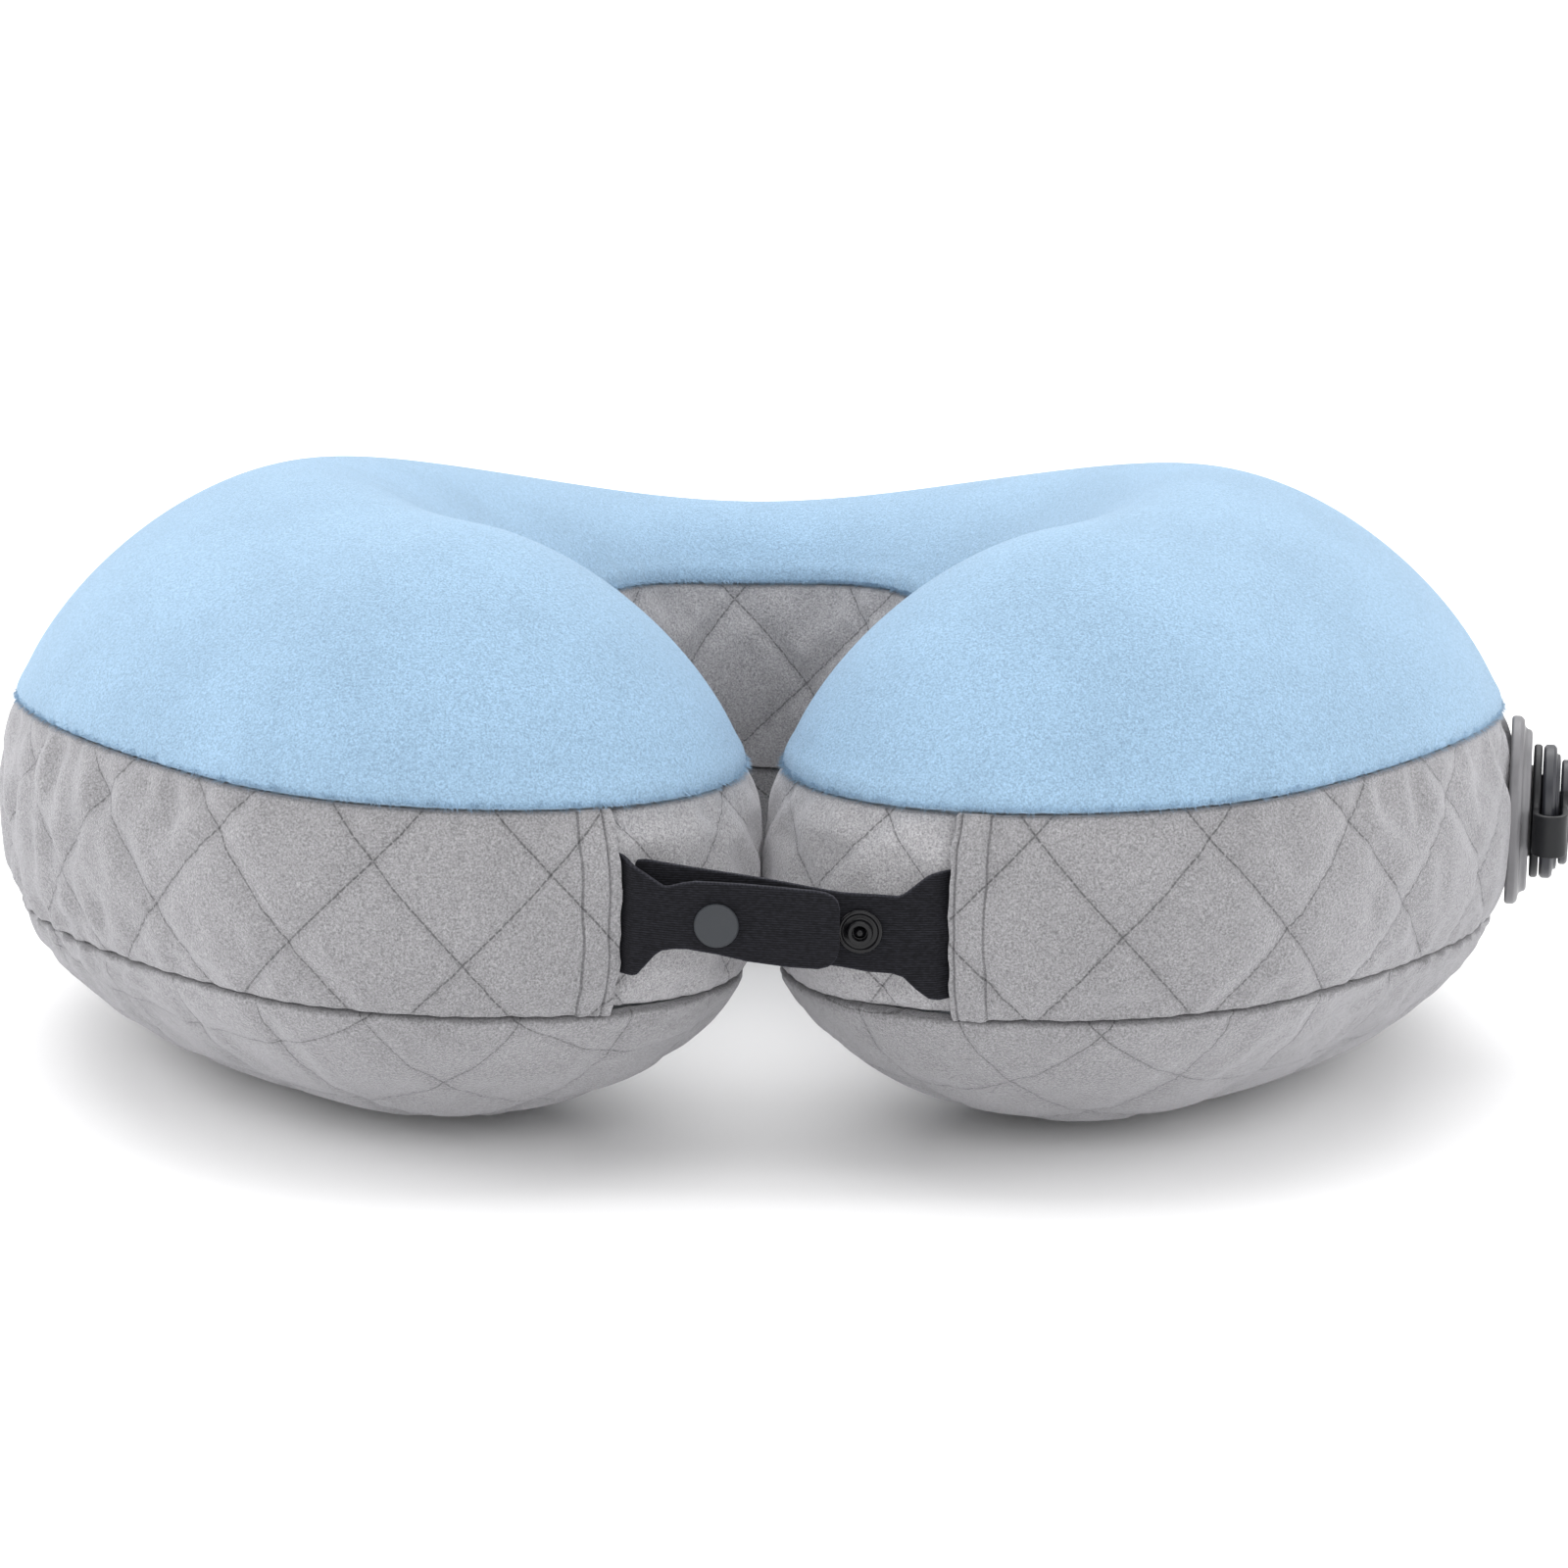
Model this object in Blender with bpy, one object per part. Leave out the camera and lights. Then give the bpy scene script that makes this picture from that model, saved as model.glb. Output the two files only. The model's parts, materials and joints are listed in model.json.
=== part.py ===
"""U-shaped inflatable neck pillow in a removable quilted cover.

The cover is four sewn panels round a welded air bladder. Two elastic straps snap together across the
open ends of the U, the valve with its plug and tethered cap is on the +X side, and a zip closes the
cover along the lower seam at the back. Lengths are metres, +Z is up and the open ends point to -Y.
"""
import math

import bmesh
import bpy
import numpy as np
from mathutils import Matrix, Vector

MM = 0.001

# Plan of the pillow: the middle line of the U is part of an ellipse
SPINE_HALF_WIDTH = 114 * MM
SPINE_HALF_DEPTH = 108 * MM
SPINE_END_ANGLE = math.radians(137)
TIP_RADIUS = 80 * MM

# Sections at equal steps from the middle of the back to the end of the spine, in millimetres: reach
# outwards, reach inwards, crest, base, upper seam outside and inside, lower seam outside and inside
SECTIONS = (
    (38, 29, 112, 6, 72, 96, 38, 44),
    (47, 43, 120, 4, 73, 100, 38, 41),
    (60, 54, 133, 1, 79, 98, 37, 40),
    (70, 58, 143, -1, 84, 95, 37, 40),
    (77, 56, 148, -2.5, 95, 91, 43, 40),
    (76, 52, 148, 2, 98, 90, 47, 41),
)
BAND_BULGE = 4.2 * MM
CROWN_FULLNESS = (1.1, 1.4)
BELLY_FULLNESS = (1.06, 1.41)

# Cover and bladder
COVER_THICKNESS = 1.8 * MM
SEAM_GAP = 0.45 * COVER_THICKNESS
FRONT_SEAM_GAP = 0.8 * COVER_THICKNESS
BLADDER_INSET = COVER_THICKNESS + 2.8 * MM
BLADDER_THICKNESS = 0.8 * MM
BACK_COLUMNS = 10
TIP_COLUMNS = 8
CROWN_ROWS = 6
BAND_ROWS = 4
BELLY_ROWS = 5
BELLY_CROWDING = 1.3
BLADDER_ROWS = 4
BLADDER_WALL_ROWS = 2
SAMPLES = 401
COLUMN_MARGIN = 0.03

# Straps and snaps, seen from the front: left is -X
LEFT_SEAM_X = -34.5 * MM
RIGHT_SEAM_X = 42.5 * MM
STRAP_WIDTH = 18.5 * MM
STRAP_THICKNESS = 1.2 * MM
STRAP_LEAN = math.radians(2.276)
STRAP_STAND_OFF = 4.4 * MM
LEFT_ROOT_SETBACK = 2.4 * MM
LEFT_FLARE = 29.5 * MM
RIGHT_FLARE = 32 * MM
FLARE_LENGTH = 11 * MM
SNAP_FROM_LEFT_SEAM = 23 * MM
SNAP_HEIGHT_SHARE = 0.5
LEFT_STRAP_LENGTH = 53 * MM
RIGHT_STRAP_LENGTH = 67 * MM
STUD_PITCH = 33 * MM
RIGHT_STRAP_DROP = 3.2 * MM
SNAP_CAP_RADIUS = 5.4 * MM
SNAP_CAP_HEIGHT = 1.3 * MM
SNAP_RING_RADIUS = 5.3 * MM
SNAP_BASE_HEIGHT = 0.9 * MM
SNAP_POST_RADIUS = 1.2 * MM
SNAP_BOSS_RADIUS = 2.9 * MM
SNAP_BOSS_HEIGHT = 1.4 * MM
SNAP_BOSS_WALL = 1.0 * MM
SNAP_CLEARANCE = 0.4 * MM
GAP = 0.3 * MM

# Sides of the turned pieces
LARGE_SIDES = 28
VALVE_SIDES = 24
SNAP_SIDES = 20
FLAP_SIDES = 16
HOLE_SIDES = 12
O_RING_SIDES = 8

# Valve, measured along its own axis from the band's crown
VALVE_ANGLE_SHARE = 0.742
FLANGE_RADIUS = 23.7 * MM
FLANGE_TOP_RADIUS = 20.5 * MM
FLANGE_HEIGHT = 4.7 * MM
FLANGE_SINK = 0.4 * MM
FLANGE_STEP = 1.9 * MM
FLANGE_BEVEL = 0.9 * MM
FLANGE_EDGE = 0.6 * MM
NECK_RADIUS = 11.5 * MM
NECK_BORE = 9.5 * MM
NECK_DEPTH = 12.5 * MM
NECK_PROUD = 0.2 * MM
BASE_RADIUS = 19 * MM
BASE_THICKNESS = 1.2 * MM
PORT_RADIUS = 17 * MM
TETHER_RING_RADIUS = 16.8 * MM
TETHER_THICKNESS = 2.2 * MM
TETHER_WIDTH = 10.6 * MM
TETHER_REACH = 24.5 * MM
TETHER_WALL = 1.4 * MM
TETHER_OVERLAP = 2 * MM
PLUG_RADIUS = 16.8 * MM
PLUG_HEIGHT = 3.4 * MM
PLUG_STEP_RADIUS = 14.4 * MM
PLUG_STEP_HEIGHT = 0.9 * MM
PLUG_EDGE = 0.8 * MM
PLUG_BARREL_LENGTH = 9 * MM
PLUG_BARREL_EDGE = 0.5 * MM
PLUG_BORE = 5.5 * MM
PLUG_RUNNING_GAP = 0.35 * MM
O_RING_SECTION = 1.1 * MM
O_RING_HEIGHT = 3.2 * MM
O_RING_GAP = 0.15 * MM
CAP_RADIUS = 13.2 * MM
CAP_HEIGHT = 2.4 * MM
CAP_PAD_RADIUS = 7.3 * MM
CAP_PAD_HEIGHT = 0.6 * MM
CAP_STUB_LENGTH = 3 * MM
CAP_EDGE = 0.7 * MM
CAP_LOWER_EDGE = 0.4 * MM
CAP_PAD_EDGE = 0.3 * MM
FLAP_RADIUS = 4 * MM
FLAP_THICKNESS = 0.6 * MM
SEAT_BORE = 2.4 * MM
SEAT_THICKNESS = 1 * MM
SEAT_HEIGHT = 2 * MM
FLAP_GAP = 0.1 * MM

# Zip in the lower seam at the back
ZIP_HALF_LENGTH = 66 * MM
ZIP_OPENING = 3.4 * MM
ZIP_ROW_HEIGHT = 1.3 * MM
ZIP_ROW_DEPTH = 2 * MM
ZIP_SLIT = 1.2 * MM
ZIP_PROUD = 1.2 * MM
ZIP_TAPE_WIDTH = 9 * MM
ZIP_TAPE_THICKNESS = 0.5 * MM
ZIP_TAPE_SETBACK = 1.1 * MM
SLIDER_LENGTH = 9 * MM
SLIDER_PLATE = 0.9 * MM
SLIDER_HEIGHT = 4.8 * MM
PULL_LENGTH = 22 * MM
PULL_WIDTH = 5 * MM
PULL_THICKNESS = 1.2 * MM
PULL_ABOVE_PIN = 0.9 * MM
PIN_SIZE = 0.5 * MM
EAR_THICKNESS = 0.8 * MM
EAR_HEIGHT = 1.8 * MM
ZIP_STOP_LENGTH = 1.5 * MM
ZIP_END_MARGIN = 3 * MM
ZIP_END_STEP = 0.003
ZIP_TAPE_GAP = 0.6 * MM
ZIP_TAPE_ROWS = 2
ZIP_STEPS = 18
SLIDER_STEPS = 3
PLATE_OVERHANG = math.radians(0.12)
PIN_CLEARANCE = 0.2 * MM


# ---- general helpers ----

def clear_scene():
    for item in list(bpy.data.objects):
        bpy.data.objects.remove(item, do_unlink=True)


def finish(name, colour, roughness, metallic=0.0):
    material = bpy.data.materials.new(name)
    material.use_nodes = True
    shader = material.node_tree.nodes["Principled BSDF"]
    shader.inputs["Base Color"].default_value = (*colour, 1.0)
    shader.inputs["Roughness"].default_value = roughness
    shader.inputs["Metallic"].default_value = metallic
    return material


def add_object(name, mesh_builder, material, parent=None, location=(0, 0, 0)):
    """Makes one sub-part. The builder's mesh is in the parent's frame, and location becomes its origin."""
    bmesh.ops.translate(mesh_builder, vec=-Vector(location), verts=mesh_builder.verts)
    mesh = bpy.data.meshes.new(name)
    mesh_builder.to_mesh(mesh)
    mesh_builder.free()
    mesh.materials.append(material)
    mesh.shade_smooth()
    mesh.set_sharp_from_angle(angle=math.radians(35))
    item = bpy.data.objects.new(name, mesh)
    item.location = location
    item.parent = parent
    bpy.context.scene.collection.objects.link(item)
    return item


def add_empty(name, matrix):
    empty = bpy.data.objects.new(name, None)
    empty.matrix_world = matrix
    bpy.context.scene.collection.objects.link(empty)
    return empty


def turned(profile, segments, axis="Z", centre=(0, 0, 0)):
    """Spins a profile of (radius, height) points. One that starts off the axis is closed into a ring."""
    builder = bmesh.new()
    points = [builder.verts.new((radius, 0, height)) for radius, height in profile]
    edges = [builder.edges.new(pair) for pair in zip(points, points[1:])]
    if profile[0][0] > 0:
        edges.append(builder.edges.new((points[-1], points[0])))
    bmesh.ops.spin(builder, geom=points + edges, cent=(0, 0, 0), axis=(0, 0, 1),
                   angle=math.tau, steps=segments, use_merge=True)
    bmesh.ops.remove_doubles(builder, verts=builder.verts, dist=0.00001)
    bmesh.ops.recalc_face_normals(builder, faces=builder.faces)
    if axis == "Y":
        lay_down = Matrix.Rotation(-math.pi / 2, 3, "X")
        bmesh.ops.rotate(builder, verts=builder.verts, cent=(0, 0, 0), matrix=lay_down)
    bmesh.ops.translate(builder, vec=Vector(centre), verts=builder.verts)
    return builder


def block(low, high):
    builder = bmesh.new()
    size = Vector(high) - Vector(low)
    middle = (Vector(high) + Vector(low)) / 2
    bmesh.ops.create_cube(builder, size=1, matrix=Matrix.Translation(middle) @ Matrix.Diagonal((*size, 1)))
    return builder


def boolean(item, cutter, operation="DIFFERENCE"):
    cutter.hide_render = True
    cutter.display_type = "WIRE"
    modifier = item.modifiers.new(cutter.name, "BOOLEAN")
    modifier.object = cutter
    modifier.operation = operation
    modifier.solver = "EXACT"


def clamped_spline(values, where):
    """Cubic through equally spaced values on 0 to 1, with a level start and end."""
    values = np.asarray(values, float)
    last = len(values) - 1
    system = np.eye(last + 1)
    right = np.zeros(last + 1)
    for i in range(1, last):
        system[i, i - 1:i + 2] = 1, 4, 1
        right[i] = 3 * (values[i + 1] - values[i - 1])
    slopes = np.linalg.solve(system, right)
    span = np.clip(np.floor(np.asarray(where) * last).astype(int), 0, last - 1)
    f = np.asarray(where) * last - span
    rise = values[span + 1] - values[span]
    bend = f * (1 - f) * ((1 - f) * (slopes[span] - rise) + f * (rise - slopes[span + 1]))
    return values[span] + f * rise + bend


# ---- the pillow's skin ----
# A column is a place round the loop: 0 to 1 along the outside of one arm from the back, 1 to 2 round
# its tip, 2 to 3 along the inside to the back again. A level is 0 to 1 up the belly from the spine's
# lowest line to the lower seam, 1 to 2 up the band, 2 to 3 over the crown to the spine's highest line.

def columns_at(places, side=1):
    """Foot point, direction, reach and heights of each column. side is -1 for the arm at -X."""
    places = np.asarray(places, float)
    share = np.where(places < 1, places, np.where(places > 2, 3 - places, 1.0))
    turn = np.clip(places - 1, 0, 1) * math.pi
    angle = share * SPINE_END_ANGLE
    foot = np.stack([SPINE_HALF_WIDTH * np.sin(angle), SPINE_HALF_DEPTH * np.cos(angle)], axis=1)
    along = np.stack([SPINE_HALF_WIDTH * np.cos(angle), -SPINE_HALF_DEPTH * np.sin(angle)], axis=1)
    along /= np.linalg.norm(along, axis=1)[:, None]
    across = np.stack([-along[:, 1], along[:, 0]], axis=1)
    direction = across * np.cos(turn)[:, None] + along * np.sin(turn)[:, None]
    table = [clamped_spline([row[k] * MM for row in SECTIONS], share) for k in range(8)]
    inward = (1 - np.cos(turn)) / 2
    squared = np.cos(turn) ** 2
    reach = (table[0] * (1 - inward) + table[1] * inward) * squared + TIP_RADIUS * (1 - squared)
    mirror = np.array([side, 1])
    return {
        "foot": foot * mirror,
        "direction": direction * mirror,
        "reach": reach,
        "crest": table[2],
        "base": table[3],
        "upper": table[4] * (1 - inward) + table[5] * inward,
        "lower": table[6] * (1 - inward) + table[7] * inward,
    }


def join_columns(*groups):
    return {key: np.concatenate([group[key] for group in groups]) for key in groups[0]}


def reversed_columns(group):
    return {key: values[::-1] for key, values in group.items()}


def skin(columns, level, inset=0.0):
    """Points of the skin at one level per column."""
    reach = columns["reach"] - inset
    crest = columns["crest"] - inset
    base = columns["base"] + inset
    upper, lower = columns["upper"], columns["lower"]
    up = np.clip(level, 0, 1) * math.pi / 2
    belly_out = reach * np.sin(up) ** BELLY_FULLNESS[0]
    belly_z = lower - (lower - base) * np.abs(np.cos(up)) ** BELLY_FULLNESS[1]
    share = np.clip(level - 1, 0, 1)
    band_out = reach + BAND_BULGE * 4 * share * (1 - share)
    band_z = lower + (upper - lower) * share
    over = np.clip(3 - level, 0, 1) * math.pi / 2
    crown_out = reach * np.abs(np.sin(over)) ** CROWN_FULLNESS[0]
    crown_z = upper + (crest - upper) * np.abs(np.cos(over)) ** CROWN_FULLNESS[1]
    out = np.where(level <= 1, belly_out, np.where(level < 2, band_out, crown_out))
    z = np.where(level <= 1, belly_z, np.where(level < 2, band_z, crown_z))
    z = np.maximum(z, inset)
    plan = columns["foot"] + columns["direction"] * out[:, None]
    return np.column_stack([plan, z])


def belly_level(columns, drop, inset=0.0):
    """Level on the belly that lies this far below the lower seam."""
    depth = columns["lower"] - columns["base"] - inset
    return np.arccos((np.maximum(drop, 0) / depth) ** (1 / BELLY_FULLNESS[1])) * 2 / math.pi


def sheet(columns, low, high, rows, closed, inset=0.0, crowding=1.0):
    """Grid of skin between two levels, its faces pointing out. crowding draws rows to the low one."""
    builder = bmesh.new()
    low = np.broadcast_to(low, columns["reach"].shape)
    high = np.broadcast_to(high, columns["reach"].shape)
    grid = []
    for row in range(rows + 1):
        points = skin(columns, low + (high - low) * (row / rows) ** crowding, inset)
        grid.append([builder.verts.new(point) for point in points])
    count = len(grid[0])
    for below, above in zip(grid, grid[1:]):
        for i in range(count if closed else count - 1):
            j = (i + 1) % count
            builder.faces.new((below[i], above[i], above[j], below[j]))
    bmesh.ops.remove_doubles(builder, verts=builder.verts, dist=0.00001)
    return builder


def thicken(item, thickness):
    modifier = item.modifiers.new("wall", "SOLIDIFY")
    modifier.thickness = thickness
    modifier.offset = -1


def arm_places():
    outer = np.linspace(0, 1, BACK_COLUMNS + 1)
    tip = 1 + np.arange(1, TIP_COLUMNS) / TIP_COLUMNS
    return np.concatenate([outer, tip, 3 - outer[::-1]])


def loop_columns():
    right = columns_at(arm_places(), 1)
    left = columns_at(arm_places()[-2:0:-1], -1)
    return join_columns(right, left)


def place_of_seam(seam_x, side):
    """Column on a tip whose middle of the band is at this x."""
    places = np.linspace(1.0, 2.0, SAMPLES)
    middle = skin(columns_at(places, side), np.full(SAMPLES, 1.5))[:, 0] * side
    front = int(np.argmin(middle)) + 1
    return float(np.interp(-abs(seam_x), -middle[:front], places[:front]))


def reach_share(place, distance):
    """Change in column number that moves a point this far round the tip."""
    reach = float(columns_at([place])["reach"][0])
    return distance / reach / math.pi


# ---- cover ----

def zip_opening(columns):
    """Half height of the opening that the zip closes: nothing away from the back."""
    x = skin(columns, np.full(len(columns["reach"]), 1.0))[:, 0]
    at_back = (columns["foot"][:, 1] > 0) & (columns["direction"][:, 1] > 0)
    near = (np.abs(x) < ZIP_HALF_LENGTH) & at_back
    return np.where(near, ZIP_OPENING, 0.0)


def zip_places():
    """Extra columns that end the zip's opening square."""
    places = np.linspace(0, 0.5, SAMPLES)
    x = skin(columns_at(places), np.full(SAMPLES, 1.0))[:, 0]
    widest = int(np.argmax(x)) + 1
    end = float(np.interp(ZIP_HALF_LENGTH, x[:widest], places[:widest]))
    return end - ZIP_END_STEP, end + ZIP_END_STEP


def cover_panels(velour, quilting):
    loop = loop_columns_with_zip()
    crown = add_object("cover_top_panel", sheet(loop, 2.0, 3.0, CROWN_ROWS, True), velour)
    belly_top = belly_level(loop, zip_opening(loop))
    belly = sheet(loop, 0.0, belly_top, BELLY_ROWS, True, crowding=BELLY_CROWDING)
    belly = add_object("cover_bottom_panel", belly, quilting)
    right_seam = place_of_seam(RIGHT_SEAM_X, 1)
    left_seam = place_of_seam(LEFT_SEAM_X, -1)
    outer = band(outer_places(right_seam), outer_places(left_seam), True)
    inner = band(inner_places(right_seam), inner_places(left_seam), False)
    outer = add_object("cover_outer_band", outer, quilting)
    inner = add_object("cover_inner_band", inner, quilting)
    for panel in (crown, belly, outer, inner):
        thicken(panel, COVER_THICKNESS)
    return outer


def loop_columns_with_zip():
    ends = np.array(zip_places())
    places = np.sort(np.concatenate([arm_places(), ends, 3 - ends]))
    return join_columns(columns_at(places, 1), columns_at(places[-2:0:-1], -1))


def outer_places(seam):
    places = np.concatenate([arm_places(), zip_places()])
    end = seam - reach_share(seam, FRONT_SEAM_GAP / 2)
    return np.sort(np.append(places[places < end - COLUMN_MARGIN], end))


def inner_places(seam):
    places = arm_places()
    start = seam + reach_share(seam, FRONT_SEAM_GAP / 2)
    return np.insert(places[places > start + COLUMN_MARGIN], 0, start)


def band(right, left, outside):
    if outside:
        columns = join_columns(columns_at(left[:0:-1], -1), columns_at(right, 1))
    else:
        columns = join_columns(columns_at(right, 1), columns_at(left[-2::-1], -1))
    height = columns["upper"] - columns["lower"]
    low = 1 + (SEAM_GAP + zip_opening(columns)) / height
    high = 2 - SEAM_GAP / height
    return sheet(columns, low, high, BAND_ROWS, False)


def bladder(film):
    loop = loop_columns()
    height = loop["upper"] - loop["lower"]
    crown = sheet(loop, 2.0, 3.0, BLADDER_ROWS, True, BLADDER_INSET)
    belly = sheet(loop, 0.0, 1.0, BLADDER_ROWS, True, BLADDER_INSET, BELLY_CROWDING)
    low, high = 1 + SEAM_GAP / height, 2 - SEAM_GAP / height
    wall = sheet(loop, low, high, BLADDER_WALL_ROWS, True, BLADDER_INSET)
    add_thick("bladder_upper_sheet", crown, film)
    add_thick("bladder_lower_sheet", belly, film)
    return add_thick("bladder_side_wall", wall, film)


def add_thick(name, builder, film):
    item = add_object(name, builder, film)
    thicken(item, BLADDER_THICKNESS)
    return item


# ---- valve ----

def valve_frame():
    """Matrix whose Z leaves the pillow at the middle of the band, with X level and Y up."""
    places = VALVE_ANGLE_SHARE + np.array([-0.01, 0, 0.01])
    before, middle, after = skin(columns_at(places), np.full(3, 1.5))
    along = Vector(after - before)
    along.z = 0
    along.normalize()
    up = Vector((0, 0, 1))
    out = up.cross(along)
    if out.x < 0:
        out.negate()
    side = up.cross(out)
    rotation = Matrix((side, up, out)).transposed().to_4x4()
    return Matrix.Translation(Vector(middle)) @ rotation


def valve_levels():
    """Distances from the band's crown to each layer of the closed valve, along its own axis."""
    neck_top = FLANGE_HEIGHT - FLANGE_SINK + NECK_PROUD
    ring_low = neck_top + GAP
    ring_high = ring_low + TETHER_THICKNESS
    plug_low = ring_high + GAP
    plug_high = plug_low + PLUG_HEIGHT
    step_high = plug_high + PLUG_STEP_HEIGHT
    cap_low = step_high + GAP
    cap_high = cap_low + CAP_HEIGHT
    return {"neck_top": neck_top, "ring_low": ring_low, "ring_high": ring_high, "plug_low": plug_low,
            "plug_high": plug_high, "step_high": step_high, "cap_low": cap_low, "cap_high": cap_high,
            "hinge": (ring_low + ring_high + cap_low + cap_high) / 4,
            "barrel_low": neck_top - PLUG_BARREL_LENGTH}


def valve(band_panel, side_wall, grey, dark, black):
    frame = add_empty("valve_axis", valve_frame())
    levels = valve_levels()
    flange_and_neck(frame, levels, grey)
    plug(frame, levels, dark, black)
    flap(frame, levels, grey, black)
    cap_and_tether(frame, levels, dark, black)
    port(band_panel, "band_port", PORT_RADIUS, frame)
    port(side_wall, "bladder_port", NECK_RADIUS + GAP, frame)


def flange_and_neck(frame, levels, grey):
    back = -FLANGE_SINK
    front = back + FLANGE_HEIGHT
    ledge = back + FLANGE_STEP + FLANGE_BEVEL
    bore = NECK_RADIUS + GAP
    profile = [(bore, back), (FLANGE_RADIUS, back), (FLANGE_RADIUS, back + FLANGE_STEP),
               (FLANGE_RADIUS - FLANGE_BEVEL, ledge), (FLANGE_TOP_RADIUS + FLANGE_BEVEL, ledge),
               (FLANGE_TOP_RADIUS, front - FLANGE_EDGE),
               (FLANGE_TOP_RADIUS - FLANGE_EDGE, front), (bore, front)]
    add_object("valve_flange", turned(profile, LARGE_SIDES), grey, frame)
    bottom = -NECK_DEPTH
    top = levels["neck_top"]
    profile = [(NECK_BORE, bottom), (BASE_RADIUS, bottom), (BASE_RADIUS, bottom + BASE_THICKNESS),
               (NECK_RADIUS, bottom + BASE_THICKNESS), (NECK_RADIUS, top), (NECK_BORE, top)]
    add_object("valve_neck", turned(profile, VALVE_SIDES), grey, frame)


def plug(frame, levels, dark, black):
    """Plug whose grooved barrel runs in the neck, with the ring seal in its groove."""
    barrel = NECK_BORE - PLUG_RUNNING_GAP
    bottom, low, high = levels["barrel_low"], levels["plug_low"], levels["plug_high"]
    groove = bottom + O_RING_HEIGHT
    below = groove - O_RING_SECTION / 2 - O_RING_GAP
    above = groove + O_RING_SECTION / 2 + O_RING_GAP
    floor = NECK_BORE - O_RING_SECTION - 2 * O_RING_GAP
    profile = [(PLUG_BORE, bottom), (barrel - PLUG_BARREL_EDGE, bottom),
               (barrel, bottom + PLUG_BARREL_EDGE), (barrel, below), (floor, below), (floor, above),
               (barrel, above), (barrel, low), (PLUG_RADIUS - PLUG_EDGE, low), (PLUG_RADIUS, low + PLUG_EDGE),
               (PLUG_RADIUS, high - PLUG_EDGE), (PLUG_RADIUS - PLUG_EDGE, high), (PLUG_STEP_RADIUS, high),
               (PLUG_STEP_RADIUS, levels["step_high"]), (PLUG_BORE, levels["step_high"])]
    add_object("dump_plug", turned(profile, VALVE_SIDES), dark, frame)
    half = O_RING_SECTION / 2
    middle = NECK_BORE - O_RING_GAP - half
    angles = np.arange(O_RING_SIDES) * math.tau / O_RING_SIDES
    profile = [(middle + half * math.cos(a), groove + half * math.sin(a)) for a in angles]
    add_object("plug_o_ring", turned(profile, VALVE_SIDES), black, frame)


def flap(frame, levels, grey, black):
    """Seat fixed in the plug's bore, with the rubber flap that opens inwards under it."""
    low = levels["barrel_low"] + SEAT_HEIGHT
    high = low + SEAT_THICKNESS
    outer = PLUG_BORE - GAP / 2
    profile = [(SEAT_BORE, low), (outer, low), (outer, high), (SEAT_BORE, high)]
    add_object("flap_seat", turned(profile, FLAP_SIDES), grey, frame)
    top = low - FLAP_GAP
    bottom = top - FLAP_THICKNESS
    profile = [(0, bottom), (FLAP_RADIUS, bottom), (FLAP_RADIUS, top), (0, top)]
    add_object("one_way_flap", turned(profile, FLAP_SIDES), black, frame, (0, 0, top))


def cap_and_tether(frame, levels, dark, black):
    low, high = levels["cap_low"], levels["cap_high"]
    ring_bore = NECK_BORE - PLUG_RUNNING_GAP + GAP
    profile = [(ring_bore, levels["ring_low"]), (TETHER_RING_RADIUS, levels["ring_low"]),
               (TETHER_RING_RADIUS, levels["ring_high"]), (ring_bore, levels["ring_high"])]
    ring = add_object("cap_tether", turned(profile, VALVE_SIDES), black, frame)
    stub = PLUG_BORE - GAP
    pad = high + CAP_PAD_HEIGHT
    profile = [(0, low - CAP_STUB_LENGTH), (stub, low - CAP_STUB_LENGTH), (stub, low),
               (CAP_RADIUS - CAP_LOWER_EDGE, low), (CAP_RADIUS, low + CAP_LOWER_EDGE),
               (CAP_RADIUS, high - CAP_EDGE), (CAP_RADIUS - CAP_EDGE, high), (CAP_PAD_RADIUS, high),
               (CAP_PAD_RADIUS - CAP_PAD_EDGE, pad), (0, pad)]
    hinge = toward_front(frame, TETHER_REACH + TETHER_WALL / 2, levels["hinge"])
    cap = add_object("inflation_cap", turned(profile, VALVE_SIDES), dark, frame, hinge)
    bend_half(frame, ring, levels["ring_low"], levels["ring_high"], TETHER_RING_RADIUS,
              levels["hinge"] - GAP / 2, black)
    bend_half(frame, cap, low + GAP, high - GAP, CAP_RADIUS, levels["hinge"] + GAP / 2, black)


def front_sign(frame):
    """Sign of the valve frame's X that points to the front of the pillow."""
    return -1 if frame.matrix_world.to_3x3().col[0].y > 0 else 1


def toward_front(frame, reach, height):
    return Vector((front_sign(frame) * reach, 0, height))


def bend_half(frame, item, low, high, edge, tip, black):
    """Half of the tether's U bend, from the edge of a disc to the living hinge along its outer face."""
    sign = front_sign(frame)
    half = TETHER_WIDTH / 2
    outside = sign * (TETHER_REACH + TETHER_WALL / 2)
    near, far = sorted((sign * (edge - TETHER_OVERLAP), outside))
    arm = block((near, -half, low), (far, half, high))
    near, far = sorted((sign * (TETHER_REACH - TETHER_WALL / 2), outside))
    bottom, top = sorted((tip, (low + high) / 2))
    post = block((near, -half, bottom), (far, half, top))
    for label, builder in (("arm", arm), ("post", post)):
        piece = add_object(item.name + "_" + label, builder, black, frame)
        boolean(item, piece, "UNION")


def port(panel, name, radius, frame):
    reach = 2 * NECK_DEPTH
    profile = [(0, -reach), (radius, -reach), (radius, reach), (0, reach)]
    cutter = add_object(name, turned(profile, VALVE_SIDES), panel.data.materials[0], frame)
    boolean(panel, cutter)


# ---- straps and snaps ----

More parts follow.
